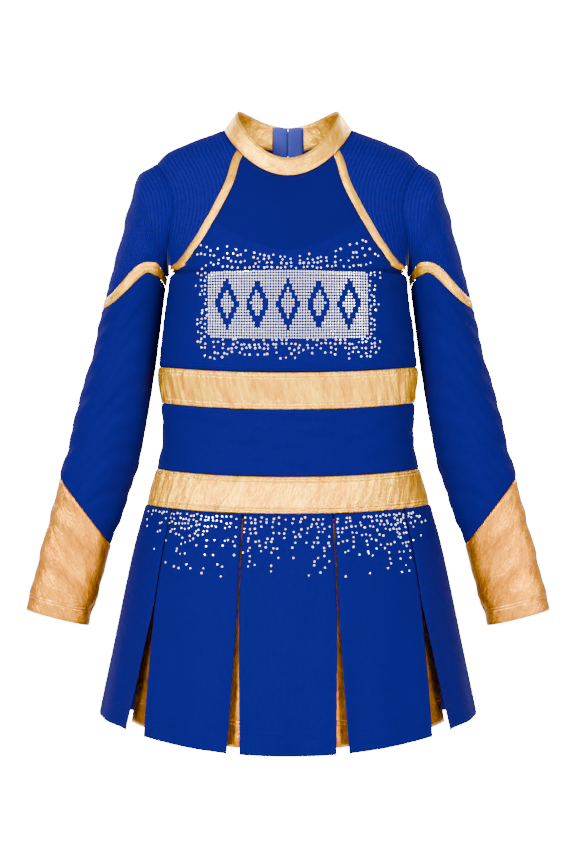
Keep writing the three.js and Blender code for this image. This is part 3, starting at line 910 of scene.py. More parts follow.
@dataclass(frozen=True)
class StoneFinish:
    """Cut glass with a foiled back, each stone with its own tint and a faint painted glow."""

    name: str

    def material(self) -> bpy.types.Material:
        """Builds the finish."""
        material, wire, shader = principled(self.name)
        tint = wire.attribute("tint")
        ramp = wire.add("ShaderNodeValToRGB")
        wire.join(tint, ramp.inputs[0])
        points = ramp.color_ramp.elements
        points[0].position, points[0].color = 0.0, (0.95, 0.97, 1.0, 1.0)
        points[1].position, points[1].color = 1.0, (1.0, 0.98, 0.95, 1.0)
        for position, colour in ((0.35, (0.75, 0.82, 1.0, 1.0)), (0.55, (1.0, 1.0, 1.0, 1.0)),
                                 (0.75, (1.0, 0.85, 0.72, 1.0)), (0.88, (0.88, 0.74, 0.95, 1.0))):
            points.new(position).color = colour
        wire.join(ramp.outputs[0], shader.inputs["Base Color"])
        # Painted glow: the stones give out a little light in their own tint, though they are no
        # lamp.
        wire.join(ramp.outputs[0], shader.inputs["Emission Color"])
        shader.inputs["Emission Strength"].default_value = 0.25
        shader.inputs["Metallic"].default_value = 0.55
        shader.inputs["Roughness"].default_value = 0.14
        shader.inputs["Coat Weight"].default_value = 0.6
        return material


class Finishes:
    """Every finish of the dress, made once."""

    def __init__(self) -> None:
        """Builds the materials."""
        # The deeper blue is the painted shade between the knit's loops and the colour of its darker
        # streaks.
        blue, deep = (0.003, 0.0012, 0.068, 1.0), (0.0015, 0.0005, 0.036, 1.0)
        self.knit = KnitFinish("blue_knit", blue, deep).material()
        self.front = KnitFinish("blue_front_knit", blue, deep, lined=True).material()
        self.skirt = KnitFinish("blue_skirt_knit", blue, deep, offset=0.019).material()
        self.mesh = KnitFinish("sheer_mesh", (0.0032, 0.0016, 0.078, 1.0),
                               (0.0014, 0.0005, 0.03, 1.0),
                               pitch=0.0007, alpha=0.93, ripple=0.5,
                               stitched=False).material()
        self.lining = KnitFinish("lining_knit", blue, deep,
                                 pitch=0.0008, stitched=False).material()
        self.band = FoilFinish("gold_foil_band").material()
        self.trim = FoilFinish("gold_foil_trim", across=70.0, along=70.0, depth=0.002,
                               offset=0.0012, spread=0.0005).material()
        # Painted shade: the cuff's gold is a darker copy of the bands' foil.
        self.cuff = FoilFinish("gold_foil_cuff", bright=(0.78, 0.28, 0.0, 1.0),
                               deep=(0.42, 0.12, 0.0, 1.0), across=45.0, along=55.0, depth=0.003,
                               offset=0.014, spread=0.0028).material()
        # Painted shade: the pleats' gold is a darker copy of the bands' foil, for their place set
        # back in the slits.
        self.pleat = FoilFinish("gold_foil_pleat", bright=(0.62, 0.22, 0.0, 1.0),
                                deep=(0.3, 0.085, 0.0, 1.0), across=45.0, along=30.0,
                                depth=0.002, offset=0.0215, spread=0.0035).material()
        self.tape = PlainFinish("zip_tape", (0.002, 0.009, 0.17, 1.0), 0.8).material()
        self.teeth = PlainFinish("zip_teeth", (0.003, 0.013, 0.22, 1.0), 0.42).material()
        self.metal = PlainFinish("zip_metal", (0.82, 0.82, 0.84, 1.0), 0.24, 1.0).material()
        self.stone = StoneFinish("rhinestone").material()


RAGLAN = [(0, 78), (0.03, 60), (0.1, 50), (0.2, 45), (0.4, 42), (0.7, 42.3), (1, 48)]
SEAM_ANGLE = 0.3
TRIM_HALF = 4.0
SLEEVE_TRIM_HALF = 5.0
ZIP_OPENING = 4.8
YOKE_TOP = FORM.yoke - FORM.seam_gap


def grid(rows: int, columns: int) -> tuple[Array, Array]:
    """Shares across and along a piece, as two grids."""
    return np.meshgrid(np.linspace(0, 1, columns), np.linspace(0, 1, rows))


def beside_raglan(up: Array, distance: Array, back: bool) -> Array:
    """The angle of a line beside the raglan seam.

    Args:
        up: Heights up the yoke.
        distance: Distance towards the arm, in millimetres.
        back: Whether it is the back's seam.

    Returns:
        The angles.
    """
    t = np.clip(np.asarray(up, float) / FORM.yoke, 0, 1)
    line = profile(RAGLAN, t)
    slope = (profile(RAGLAN, t + 1e-3) - profile(RAGLAN, t - 1e-3)) / (2e-3 * FORM.yoke)
    if back:
        line, slope = 180 - line, -slope
    step = step_across(FORM.torso, line, np.maximum(up, 0.5), slope, np.abs(distance))
    return line + step * np.sign(distance) * (-1 if back else 1)


def near_centre_back(surface: Surface, level: Array, distance: float) -> Array:
    """The angle near 180 where a surface comes within a distance of the centre back."""
    level = np.asarray(level, dtype=float)
    low, high = np.full_like(level, 120.0), np.full_like(level, 180.0)
    for _ in range(30):
        middle = (low + high) / 2
        wide = surface(middle, level)[..., 0] > distance
        low, high = np.where(wide, middle, low), np.where(wide, high, middle)
    return low


class Bodice:
    """The knit front and backs, the lining under the yoke and the raglan piping."""

    BODY = "garment"

    def __init__(self, finishes: Finishes) -> None:
        """Keeps the finishes."""
        self.finishes = finishes
        self.front: bpy.types.Object | None = None

    def _levels(self) -> Array:
        """Heights of a bodice piece's rows, close together near the armpit."""
        lower = np.linspace(-FORM.bodice + FORM.seam_gap, -2, 36)
        return np.concatenate([lower, lerp(1, YOKE_TOP, np.linspace(0, 1, 52) ** 1.7)])

    @staticmethod
    def _relief(seed: int) -> Callable[[Array, Array, Array], Array]:
        """Soft pull lines towards the armholes."""
        def folds(across: Array, along: Array, points: Array) -> Array:
            pull = np.clip((np.abs(points[..., 0]) - 50) / 60, 0, 1)
            slant = along + 0.5 * np.abs(points[..., 0])
            return (0.25 * noise(across, along, 60, seed)
                    + 0.5 * pull * noise(across * 0.35, slant, 12, seed + 1, 5))
        return folds

    def _front(self) -> None:
        """The front, in one piece."""
        i, _ = grid(2, 97)
        up = self._levels()[:, None] + 0 * i[:1]
        limit = np.where(up < 0, 90 - SEAM_ANGLE, beside_raglan(np.maximum(up, 0), -4.5, False))
        self.front = ClothPiece(
            "bodice_front_cloth", FORM.torso, lerp(-1, 1, i[:1]) * limit, up, self.BODY,
            "blue_knit", ("bodice_front",), self.finishes.front, relief=self._relief(3)).build()
        share = lerp(-1, 1, i[:1]) * limit / 70
        lined = np.clip((24 + 22 * share ** 2 - up) / 2 + 0.5, 0, 1)
        put_attribute(self.front, "lined", np.tile(lined.ravel(), 2))

    def _back(self, side: Side) -> None:
        """One side's back."""
        i, _ = grid(2, 49)
        up = self._levels()[:, None] + 0 * i[:1]
        outer = np.where(up < 0, 90 + SEAM_ANGLE, beside_raglan(np.maximum(up, 0), -4.5, True))
        angle = side.value * lerp(outer, near_centre_back(FORM.torso, up, ZIP_OPENING), i[:1])
        ClothPiece(f"bodice_back_{side.word}_cloth", FORM.torso, angle, up, self.BODY, "blue_knit",
                   (f"bodice_back_{side.word}",), self.finishes.knit,
                   relief=self._relief(5)).build()

    def _lining(self) -> None:
        """The lining, which ends in a scoop below the neck."""
        i, j = grid(56, 81)
        share = lerp(-1, 1, i)
        up = lerp(-88, 24 + 22 * share ** 2, j)
        raglan = beside_raglan(np.maximum(up, 1), -5.5, False)
        limit = lerp(75, np.minimum(75, raglan), np.clip(up / 10 + 1, 0, 1))
        ClothPiece("bodice_lining_cloth", FORM.torso, share * limit, up, self.BODY, "lining_knit",
                   ("bodice_lining",), self.finishes.lining, lift=-4.7).build()

    def _piping(self, side: Side, back: bool) -> None:
        """Gold piping on one raglan seam."""
        i, j = grid(70, 7)
        up = lerp(1, YOKE_TOP, j ** 1.7)
        low, high = beside_raglan(up, -TRIM_HALF, back), beside_raglan(up, TRIM_HALF, back)
        name = f"raglan_trim_{'back' if back else 'front'}_{side.word}"
        ClothPiece(f"{name}_cloth", FORM.torso, side.value * lerp(low, high, i), up, self.BODY,
                   "gold_foil_knit", (name,), self.finishes.trim, thickness=1.3, lift=0.5,
                   crease=2.2).build()

    def build(self) -> None:
        """Builds and dresses every piece."""
        self._front()
        self._lining()
        for side in Side:
            self._back(side)
            for back in (False, True):
                self._piping(side, back)


class Shoulders:
    """Sheer shoulders between the piping and the armholes."""

    START = 0.065

    def __init__(self, finishes: Finishes) -> None:
        """Keeps the finishes."""
        self.finishes = finishes

    def _edge(self, share: Array) -> tuple[Array, Array]:
        """The piece's edge by the piping and the collar, as angle and height."""
        step = share * 26
        low = float(FORM.armhole(np.array(self.START))[1])
        rise = np.clip(np.where(step < 13, step, 26 - step) / 10, 0, 1)
        up = np.maximum(low, lerp(1, YOKE_TOP, rise ** 1.7))
        front, back = beside_raglan(up, 4.5, False), beside_raglan(up, 4.5, True)
        over = np.clip((step - 10) / 6, 0, 1)
        return lerp(front, back, over), up

    def build(self) -> None:
        """Builds and dresses both sides."""
        for side in Side:
            i, j = grid(24, 120)
            inner = FORM.armhole(lerp(self.START, 1 - self.START, i))
            outer = self._edge(i)
            under = lerp(-0.06, 1, j)
            angle, up = lerp(inner[0], outer[0], under), lerp(inner[1], outer[1], under)
            ClothPiece(f"mesh_shoulder_{side.word}_cloth", FORM.torso, side.value * angle, up,
                       "garment", "sheer_mesh", (f"mesh_shoulder_{side.word}",),
                       self.finishes.mesh, thickness=0.7,
                       relief=lambda a, b, p: 0.25 * noise(a, b, 18, 9)).build()


class Collar:
    """The stand collar's front and two backs."""

    def __init__(self, finishes: Finishes) -> None:
        """Keeps the finishes."""
        self.finishes = finishes

    @staticmethod
    def surface(angle: Array, up: Array) -> Array:
        """The collar between the neck seam, at 0, and its top edge, at 1."""
        up = np.asarray(up, float)[..., None]
        return lerp(FORM.neck_ring(angle), FORM.collar_ring(angle), up)

    def build(self) -> None:
        """Builds and dresses every piece."""
        i, j = grid(16, 91)
        up = lerp(0.03, 1, j)
        pieces = [("collar_front", lerp(-1, 1, i) * 89.95)]
        for side in Side:
            last = near_centre_back(self.surface, up, ZIP_OPENING)
            pieces.append((f"collar_back_{side.word}", side.value * lerp(90.05, last, i)))
        for name, angle in pieces:
            ClothPiece(f"{name}_cloth", self.surface, angle, up, "garment", "gold_foil_knit",
                       (name,), self.finishes.trim, thickness=1.6, crease=2.0).build()


class Bands:
    """The two gold bands and the knit midriff between them."""

    def __init__(self, finishes: Finishes) -> None:
        """Keeps the finishes."""
        self.finishes = finishes

    @staticmethod
    def _gathers(seed: int) -> Callable[[Array, Array, Array], Array]:
        """Upright crinkles where the elastic pulls the foil in."""
        def folds(across: Array, along: Array, points: Array) -> Array:
            edge = np.clip(np.minimum(along, along[-1:] - along) / 5, 0, 1)
            wave = noise(across, along * 0.22, 5.5, seed, 14)
            return edge * (0.8 * wave + 0.3 * noise(across, along, 40, seed + 3)) + 0.2
        return folds

    @staticmethod
    def _level_folds(across: Array, along: Array, points: Array) -> Array:
        """Soft level folds at the waist."""
        edge = np.clip(np.minimum(along, along[-1:] - along) / 6, 0, 1)
        return edge * (0.7 * noise(across * 0.25, along, 14, 21, 6)
                       + 0.3 * noise(across, along, 45, 22))

    def build(self) -> None:
        """Builds and dresses every piece."""
        rows = (("bust_band", FORM.band_top, FORM.band, self.finishes.band, "gold_foil_knit",
                 self._gathers(31)),
                ("midriff", FORM.midriff_top, FORM.midriff, self.finishes.knit, "blue_knit",
                 self._level_folds),
                ("waistband", FORM.waistband_top, FORM.waistband, self.finishes.band,
                 "gold_foil_knit", self._gathers(57)))
        for name, top, height, finish, slot, relief in rows:
            i, j = grid(26, 181)
            up = lerp(top - height, top - FORM.seam_gap, j) - FORM.armpit
            spans = [("front", lerp(-1, 1, i) * (90 - SEAM_ANGLE))]
            for side in Side:
                last = near_centre_back(FORM.torso, up, ZIP_OPENING)
                spans.append((f"back_{side.word}", side.value * lerp(90 + SEAM_ANGLE, last, i)))
            for where, angle in spans:
                ClothPiece(f"{name}_{where}_cloth", FORM.torso, angle, up, "garment", slot,
                           (f"{name}_{where}",), finish, thickness=1.1, relief=relief,
                           crease=1.8).build()


JOINTS = {joint["child"]: joint for joint in frame["joints"]}


def hang_from(body: str, length: float = 0.02) -> tuple[str, tuple, tuple]:
    """Where cloth of a body that swings from the garment starts and ends its bend."""
    x, y, z = JOINTS[body]["pos_m"]
    return "garment", (x, y, z), (x, y, z - length)


class SeamAllowances:
    """Strips of knit inside the dress where two pieces meet."""

    HALF = 5.6

    def __init__(self, finishes: Finishes) -> None:
        """Keeps the finishes."""
        self.finishes = finishes

    def _level(self, name: str, level: float) -> None:
        """A strip behind one seam that runs round the body."""
        i, j = grid(5, 181)
        up = level - FORM.armpit + self.HALF * lerp(-1, 1, j)
        limit = near_centre_back(FORM.torso, up, ZIP_OPENING + 0.6)
        ClothPiece(f"seam_{name}", FORM.torso, lerp(-1, 1, i) * limit, up, "garment", "blue_knit",
                   (), self.finishes.lining, thickness=0.6, lift=-1.3, crease=0.8).build()

    def _side(self, side: Side, name: str, low: float, high: float) -> None:
        """A strip behind part of one side seam."""
        i, j = grid(24, 5)
        up = lerp(low, high, j)
        ClothPiece(f"seam_{name}_{side.word}", FORM.torso,
                   side.value * (90 + 2.6 * lerp(-1, 1, i)), up, "garment", "blue_knit", (),
                   self.finishes.lining, thickness=0.6, lift=-1.3, crease=0.8).build()

    def _raglan(self, side: Side, back: bool) -> None:
        """A strip behind one raglan seam."""
        i, j = grid(60, 7)
        up = lerp(9, YOKE_TOP, j ** 1.3)
        low, high = beside_raglan(up, -7.0, back), beside_raglan(up, 7.0, back)
        ClothPiece(f"seam_raglan_{'back' if back else 'front'}_{side.word}", FORM.torso,
                   side.value * lerp(low, high, i), up, "garment", "blue_knit", (),
                   self.finishes.lining, thickness=0.6, lift=-1.3, crease=0.8).build()

    def build(self) -> None:
        """Builds and dresses every strip."""
        levels = (FORM.band_top, FORM.midriff_top, FORM.waistband_top, FORM.skirt_top)
        for name, level in zip(("bust", "midriff", "waist", "skirt"), levels):
            self._level(name, level)
        self._level("neck", FORM.armpit + FORM.yoke - 3.0)
        tops = (FORM.armpit, *levels)
        for side in Side:
            self._raglan(side, False)
            self._raglan(side, True)
            for k in range(4):
                self._side(side, f"side_{k + 1}", tops[k + 1] - FORM.armpit + self.HALF + 1,
                           tops[k] - FORM.armpit - (self.HALF + 1 if k else 0.0))


class Sleeves:
    """Both sleeves: sheer top, gold band, knit sleeve and pointed gold cuff."""

    BEND_START = (0.120, 0.0, -0.125)
    BEND_END = (0.190, 0.0, -0.153)

    def __init__(self, finishes: Finishes) -> None:
        """Keeps the finishes."""
        self.finishes = finishes

    @staticmethod
    def _section_step(turn: Array, line: Callable[[Array], Array], width: float) -> Array:
        """A change in section that moves square to a line round the sleeve."""
        slope = (line(turn + 0.01) - line(turn - 0.01)) / 0.02
        return step_across(lambda s, t: FORM.sleeve(t, s), line(turn), turn, slope, width)

    @staticmethod
    def _folds(amount: float, seed: int) -> Callable[[Array, Array, Array], Array]:
        """Soft creases round the arm, none where the sleeve lies against the body."""
        def folds(across: Array, along: Array, points: Array) -> Array:
            clear = np.clip((points[..., 0] - 128) / 25, 0, 1)
            edge = np.clip(np.minimum(along, along[-1:] - along) / 8, 0, 1)
            slant = along + 0.35 * across
            return amount * clear * edge * (0.7 * noise(across * 0.3, slant, 22, seed, 7)
                                            + 0.5 * noise(across * 0.8, along, 55, seed + 1))
        return folds

    def build(self) -> None:
        """Builds and dresses both sleeves."""
        trim, cuff = FORM.trim_section, FORM.cuff_section
        half, quarter = SLEEVE_TRIM_HALF, FORM.sleeve_outer / 4

        def beside(turn: Array, width: float) -> Array:
            """The line a signed width away from the trim, measured on the cloth."""
            return trim(turn) + np.sign(width) * self._section_step(turn, trim, abs(width))

        parts = (
            ("sleeve_mesh", lambda t: 0 * t - 0.0, lambda t: beside(t, -half - FORM.seam_gap), 90,
             self.finishes.mesh, "sheer_mesh", 0.0, 0.7, self._folds(0.9, 71)),
            ("sleeve_trim", lambda t: beside(t, -half), lambda t: beside(t, half), 9,
             self.finishes.trim, "gold_foil_knit", 0.4, 1.3, self._folds(0.5, 73)),
            ("sleeve", lambda t: beside(t, half + FORM.seam_gap),
             lambda t: cuff(t) - FORM.seam_gap / quarter, 96, self.finishes.knit, "blue_knit", 0.0,
             1.0, self._folds(1.8, 75)),
            ("cuff", cuff, lambda t: 0 * t + 7, 56, self.finishes.cuff, "gold_foil_knit", 0.2,
             1.4, self._folds(1.2, 77)))
        for side in Side:
            for name, start, end, rows, finish, slot, lift, thickness, relief in parts:
                i, j = grid(rows, 97)
                turn = 180 + 360 * i
                section = lerp(start(turn), end(turn), j)
                bend = [(x * side.value, y, z) for x, y, z in (self.BEND_START, self.BEND_END)]
                ClothPiece(f"{name}_{side.word}_cloth", FORM.sleeve, turn, section,
                           f"arm_{side.word}", slot, (f"{name}_{side.word}",), finish,
                           thickness=thickness, lift=lift, relief=relief, wrap=True,
                           mirror=side.value, crease=1.8, hem_only=name == "cuff",
                           blend=("garment", bend[0], bend[1])).build()


SLITS = (15.0, 51.0, 129.0, 165.0)
SLIT_OPENINGS = (3.2, 8.4, 8.4, 3.2)
PLEAT_SPAN = 10.5


class Skirt:
    """The flared knit panels and the gold pleats that show between them."""

    def __init__(self, finishes: Finishes) -> None:
        """Keeps the finishes."""
        self.finishes = finishes
        self.cloths: dict[str, bpy.types.Object] = {}

    @staticmethod
    def slit_half(k: int, along: Array) -> Array:
        """Half the angle that a slit is open, 0 along at the waist and 1 at the hem."""
        return SEAM_ANGLE + SLIT_OPENINGS[k] / 2 * np.clip((along - 0.42) / 0.58, 0, 1)

    @staticmethod
    def _folds(across: Array, along: Array, points: Array) -> Array:
        """Soft upright waves that grow towards the hem, and edges that turn in at the slits."""
        share = along / along[-1:]
        side = np.minimum(across, across[:, -1:] - across)
        turned = np.clip(1 - side / 5, 0, 1) ** 2 * np.clip((share - 0.42) / 0.2, 0, 1)
        wave = noise(across, along * 0.15, 42, 91, 5)
        return share ** 1.3 * 2.0 * wave * np.clip(side / 12, 0, 1) - 1.3 * turned

    @classmethod
    def panels(cls) -> list[tuple[str, Callable[[Array, Array], Array]]]:
        """Every panel's name and the angle at each share across and along it."""
        def middle(centre: float, half: float, k: int) -> Callable[[Array, Array], Array]:
            """Angles of a panel between the two slits of one number."""
            return lambda i, j: centre + lerp(-1, 1, i) * (half - cls.slit_half(k, j))

        def between(side: Side, k: int) -> Callable[[Array, Array], Array]:
            """Angles of a panel between a slit and the next one round."""
            return lambda i, j: side.value * lerp(SLITS[k] + cls.slit_half(k, j),
                                                  SLITS[k + 1] - cls.slit_half(k + 1, j), i)

        found = [("front", middle(0, SLITS[0], 0)), ("back", middle(180, 180 - SLITS[3], 3))]
        for side in Side:
            for k, place in enumerate(("front", "side", "back")):
                found.append((f"{place}_{side.word}", between(side, k)))
        return found

    def _panel(self, name: str, angle_at: Callable[[Array, Array], Array]) -> None:
        """One knit panel."""
        i, j = grid(90, 97 if name.startswith("side") else 49)
        body = f"panel_{name}"
        self.cloths[name] = ClothPiece(
            f"skirt_panel_{name}_cloth", FORM.skirt, angle_at(i, j), j, body, "blue_knit",
            (f"skirt_panel_{name}",), self.finishes.skirt, thickness=1.4, relief=self._folds,
            hold=Hold.HUNG, crease=2.5, hem_only=True, blend=hang_from(body)).build()

    def _insert(self, side: Side, k: int) -> None:
        """The gold pleat behind one slit, with its inner folds."""
        def surface(angle: Array, along: Array) -> Array:
            """The skirt surface, set further back towards the hem."""
            return FORM.skirt(angle, along, lerp(3.0, 13.0, along))

        def folds(across: Array, along: Array, points: Array) -> Array:
            share = along / along[-1:]
            middle = np.abs(2 * across / np.maximum(across[:, -1:], 1e-6) - 1)
            return share * (3.2 * (middle ** 2 - 0.5) + 0.5 * noise(across, along * 0.3, 16, 95))

        i, j = grid(70, 33)
        angle = side.value * (SLITS[k] + lerp(-1, 1, i) * PLEAT_SPAN)
        body = f"pleat_{k + 1}_{side.word}"
        ClothPiece(f"pleat_insert_{k + 1}_{side.word}_cloth", surface, angle, lerp(0.03, 0.98, j),
                   body, "gold_foil_knit", (f"pleat_insert_{k + 1}_{side.word}",),
                   self.finishes.pleat, thickness=1.2, relief=folds, hold=Hold.FOLDED,
                   hem_only=True, blend=hang_from(body)).build()

    def build(self) -> None:
        """Builds and dresses every panel and pleat."""
        for name, angle_at in self.panels():
            self._panel(name, angle_at)
        for side in Side:
            for k in range(len(SLITS)):
                self._insert(side, k)


class RigidPiece:
    """A small hard piece, modelled in the zip's own frame in millimetres.

    X runs across the zip, Y out of the back, and -Z down the zip from the collar's top edge.
    """

    def __init__(self, name: str, size: tuple[float, float, float],
                 centre: tuple[float, float, float]) -> None:
        """Starts from a block of a size and centre."""
        deselect()
        bpy.ops.mesh.primitive_cube_add(size=1, location=(0, 0, 0))
        self.obj = bpy.context.active_object
        self.obj.name = name
        self.obj.data.transform(Matrix.Translation(centre) @ Matrix.Diagonal((*size, 1.0)))
        self.size = size

    def _edit(self, mode: str) -> None:
        """Opens the piece for editing with nothing selected."""
        deselect()
        self.obj.select_set(True)
        bpy.context.view_layer.objects.active = self.obj
        bpy.ops.object.mode_set(mode="EDIT")
        bpy.ops.mesh.select_mode(type=mode)
        bpy.ops.mesh.select_all(action="DESELECT")
        bpy.ops.object.mode_set(mode="OBJECT")

    def soften(self, width: float, along: str | None = None, segments: int = 2) -> "RigidPiece":
        """Bevels edges.

        Args:
            width: Bevel width.
            along: Axis that the bevelled edges run along, or None for every edge.
            segments: Steps of the round.

        Returns:
            The piece itself.
        """
        self._edit("EDGE")
        mesh = self.obj.data
        for edge in mesh.edges:
            a, b = (mesh.vertices[v].co for v in edge.vertices)
            run = (b - a).normalized()
            edge.select = along is None or abs(run["xyz".index(along)]) > 0.95
        bpy.ops.object.mode_set(mode="EDIT")
        bpy.ops.mesh.bevel(offset=width, segments=segments, affect="EDGES")
        bpy.ops.object.mode_set(mode="OBJECT")
        return self

    def _select_ends(self, axis: str, both: bool) -> None:
        """Selects the large faces that look along an axis."""
        place = "xyz".index(axis)
        faces = [f for f in self.obj.data.polygons if f.normal[place] > 0.95
                 or (both and f.normal[place] < -0.95)]
        largest = max(f.area for f in faces)
        for face in faces:
            face.select = face.area > 0.6 * largest

    def pierce(self, axis: str, wall: float) -> "RigidPiece":
        """Opens a hole right through, leaving a wall."""
        self._edit("FACE")
        self._select_ends(axis, True)
        bpy.ops.object.mode_set(mode="EDIT")
        bpy.ops.mesh.inset(thickness=wall, use_individual=True)
        bpy.ops.mesh.bridge_edge_loops()
        bpy.ops.object.mode_set(mode="OBJECT")
        return self

    def recess(self, axis: str, wall: float, depth: float) -> "RigidPiece":
        """Sinks a panel into the face that looks along an axis."""
        self._edit("FACE")
        self._select_ends(axis, False)
        bpy.ops.object.mode_set(mode="EDIT")
        bpy.ops.mesh.inset(thickness=wall, use_individual=True)
        bpy.ops.mesh.inset(thickness=0.15, depth=-depth, use_individual=True)
        bpy.ops.object.mode_set(mode="OBJECT")
        return self

    def join(self, other: "RigidPiece") -> "RigidPiece":
        """Takes another piece in."""
        deselect()
        other.obj.select_set(True)
        self.obj.select_set(True)
        bpy.context.view_layer.objects.active = self.obj
        bpy.ops.object.join()
        return self

    def repeat(self, pitch: float, count: int) -> "RigidPiece":
        """Copies the piece down the zip."""
        rows = self.obj.modifiers.new("rows", "ARRAY")
        rows.use_relative_offset, rows.use_constant_offset = False, True
        rows.constant_offset_displace = (0, 0, -pitch)
        rows.count = count
        deselect()
        self.obj.select_set(True)
        bpy.context.view_layer.objects.active = self.obj
        bpy.ops.object.modifier_apply(modifier="rows")
        return self

    def place(self, body: str, slot: str, material: bpy.types.Material, *stands_for: str) -> None:
        """Moves the piece to the zip, gives it its finish, attaches it to its body and hides the
        parts it stands for.
        """
        angle = math.atan(FORM.zip_slope)
        top = Matrix.Translation((0, FORM.zip_top_y * MM, FORM.collar_back_top * MM))
        self.obj.data.transform(top @ Matrix.Rotation(angle, 4, "X") @ Matrix.Scale(MM, 4))
        self.obj.data.materials.clear()
        self.obj.data.materials.append(material)
        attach(self.obj, body)
        if stands_for:
            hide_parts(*stands_for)


class Zip:
    """The full back zip: tapes, coil, stops, slider and pull."""

    COIL_Y = -0.6
    TAPE_Y = -4.3
    TOOTH_PITCH = 1.5

    def __init__(self, finishes: Finishes) -> None:
        """Keeps the finishes and works out the zip's length."""
        self.finishes = finishes
        self.angle = math.atan(FORM.zip_slope)
        self.length = (FORM.collar_back_top - FORM.skirt_top) / math.cos(self.angle)

    def _tape_surface(self, x: Array, down: Array) -> Array:
        """The tapes' outer face, for a distance across and down."""
        sine, cosine = math.sin(self.angle), math.cos(self.angle)
        return points_of(x, FORM.zip_top_y + down * sine + self.TAPE_Y * cosine,
                         FORM.collar_back_top - down * cosine + self.TAPE_Y * sine)

    def _tape(self, side: Side) -> None:
        """One side's woven tape, from behind the coil to under the back's edge."""
        i, j = grid(120, 7)
        ClothPiece(f"zip_tape_{side.word}_cloth", self._tape_surface,
                   side.value * lerp(0.05, 15.6, i), lerp(0.5, self.length - 0.5, j), "garment",
                   "zip_tape", (f"zip_tape_{side.word}",), self.finishes.tape, thickness=0.8,
                   crease=0.6).build()

    def _teeth(self, side: Side) -> None:
        """One side's coil, a tooth at a time, half a pitch apart from the other side's."""
        start = 5.2 + (0.0 if side is Side.LEFT else self.TOOTH_PITCH / 2)
        count = int((self.length - 4.5 - start) / self.TOOTH_PITCH)
        tooth = RigidPiece(f"zip_teeth_{side.word}_look", (2.3, 1.9, 0.8),
                           (side.value * 1.42, self.COIL_Y, -start))
        tooth.soften(0.22, segments=1).repeat(self.TOOTH_PITCH, count)
        tooth.place("garment", "zip_teeth", self.finishes.teeth, f"zip_teeth_{side.word}")

    def _stops(self) -> None:
        """The stops at both ends."""
        metal = self.finishes.metal
        for side in Side:
            stop = RigidPiece(f"zip_top_stop_{side.word}_look", (2.3, 2.0, 3.0),
                              (side.value * 1.4, self.COIL_Y, -2.5))
            stop.soften(0.45).place("garment", "zip_metal", metal, f"zip_top_stop_{side.word}")
        stop = RigidPiece("zip_bottom_stop_look", (5.2, 2.2, 3.0),
                          (0, self.COIL_Y, -(self.length - 1.5)))
        stop.soften(0.5).place("garment", "zip_metal", metal, "zip_bottom_stop")

    def _slider(self) -> None:
        """The slider's body and the ring that holds its pull."""
        body = RigidPiece("zip_slider_look", (8.0, 5.2, 10.0), (0, self.COIL_Y, -9.5))
        body.soften(1.1, along="z").pierce("z", 1.1).soften(0.18, segments=1)
        deselect()
        bpy.ops.mesh.primitive_torus_add(major_radius=1.55, minor_radius=0.4, major_segments=28,
                                         minor_segments=12, rotation=(0, math.pi / 2, 0))
        ring = bpy.context.active_object
        ring.data.transform(Matrix.Translation((0, 3.3, -6.2)) @ Matrix.Diagonal((0.9, 1, 1, 1))
                            @ ring.matrix_basis)
        ring.matrix_basis = Matrix.Identity(4)
        deselect()
        ring.select_set(True)
        body.obj.select_set(True)
        bpy.context.view_layer.objects.active = body.obj
        bpy.ops.object.join()
        body.place("slider", "zip_metal", self.finishes.metal, "zip_slider")

    def _pull(self) -> None:
        """The pull: an eye round the ring and a tab with a sunk panel."""
        eye = RigidPiece("zip_pull_look", (5.0, 1.4, 5.0), (0, 3.3, -8.0))
        eye.soften(1.2, along="y").pierce("y", 1.15)
        tab = RigidPiece("zip_pull_tab", (5.0, 1.4, 19.2), (0, 3.3, -19.9))
        tab.soften(1.6, along="y").recess("y", 0.8, 0.3)
        eye.join(tab).place("pull", "zip_metal", self.finishes.metal, "zip_pull")

    def build(self) -> None:
        """Builds and dresses every piece."""
        for side in Side:
            self._tape(side)
            self._teeth(side)
        self._stops()
        self._slider()
        self._pull()


@dataclass(frozen=True)
class Setting:
    """Where one field's stones sit, before they are pressed onto the cloth.

    Attributes:
        points: Points just outside the cloth, in millimetres.
        sizes: Each stone's radius, in millimetres.
    """

    points: Array
    sizes: Array


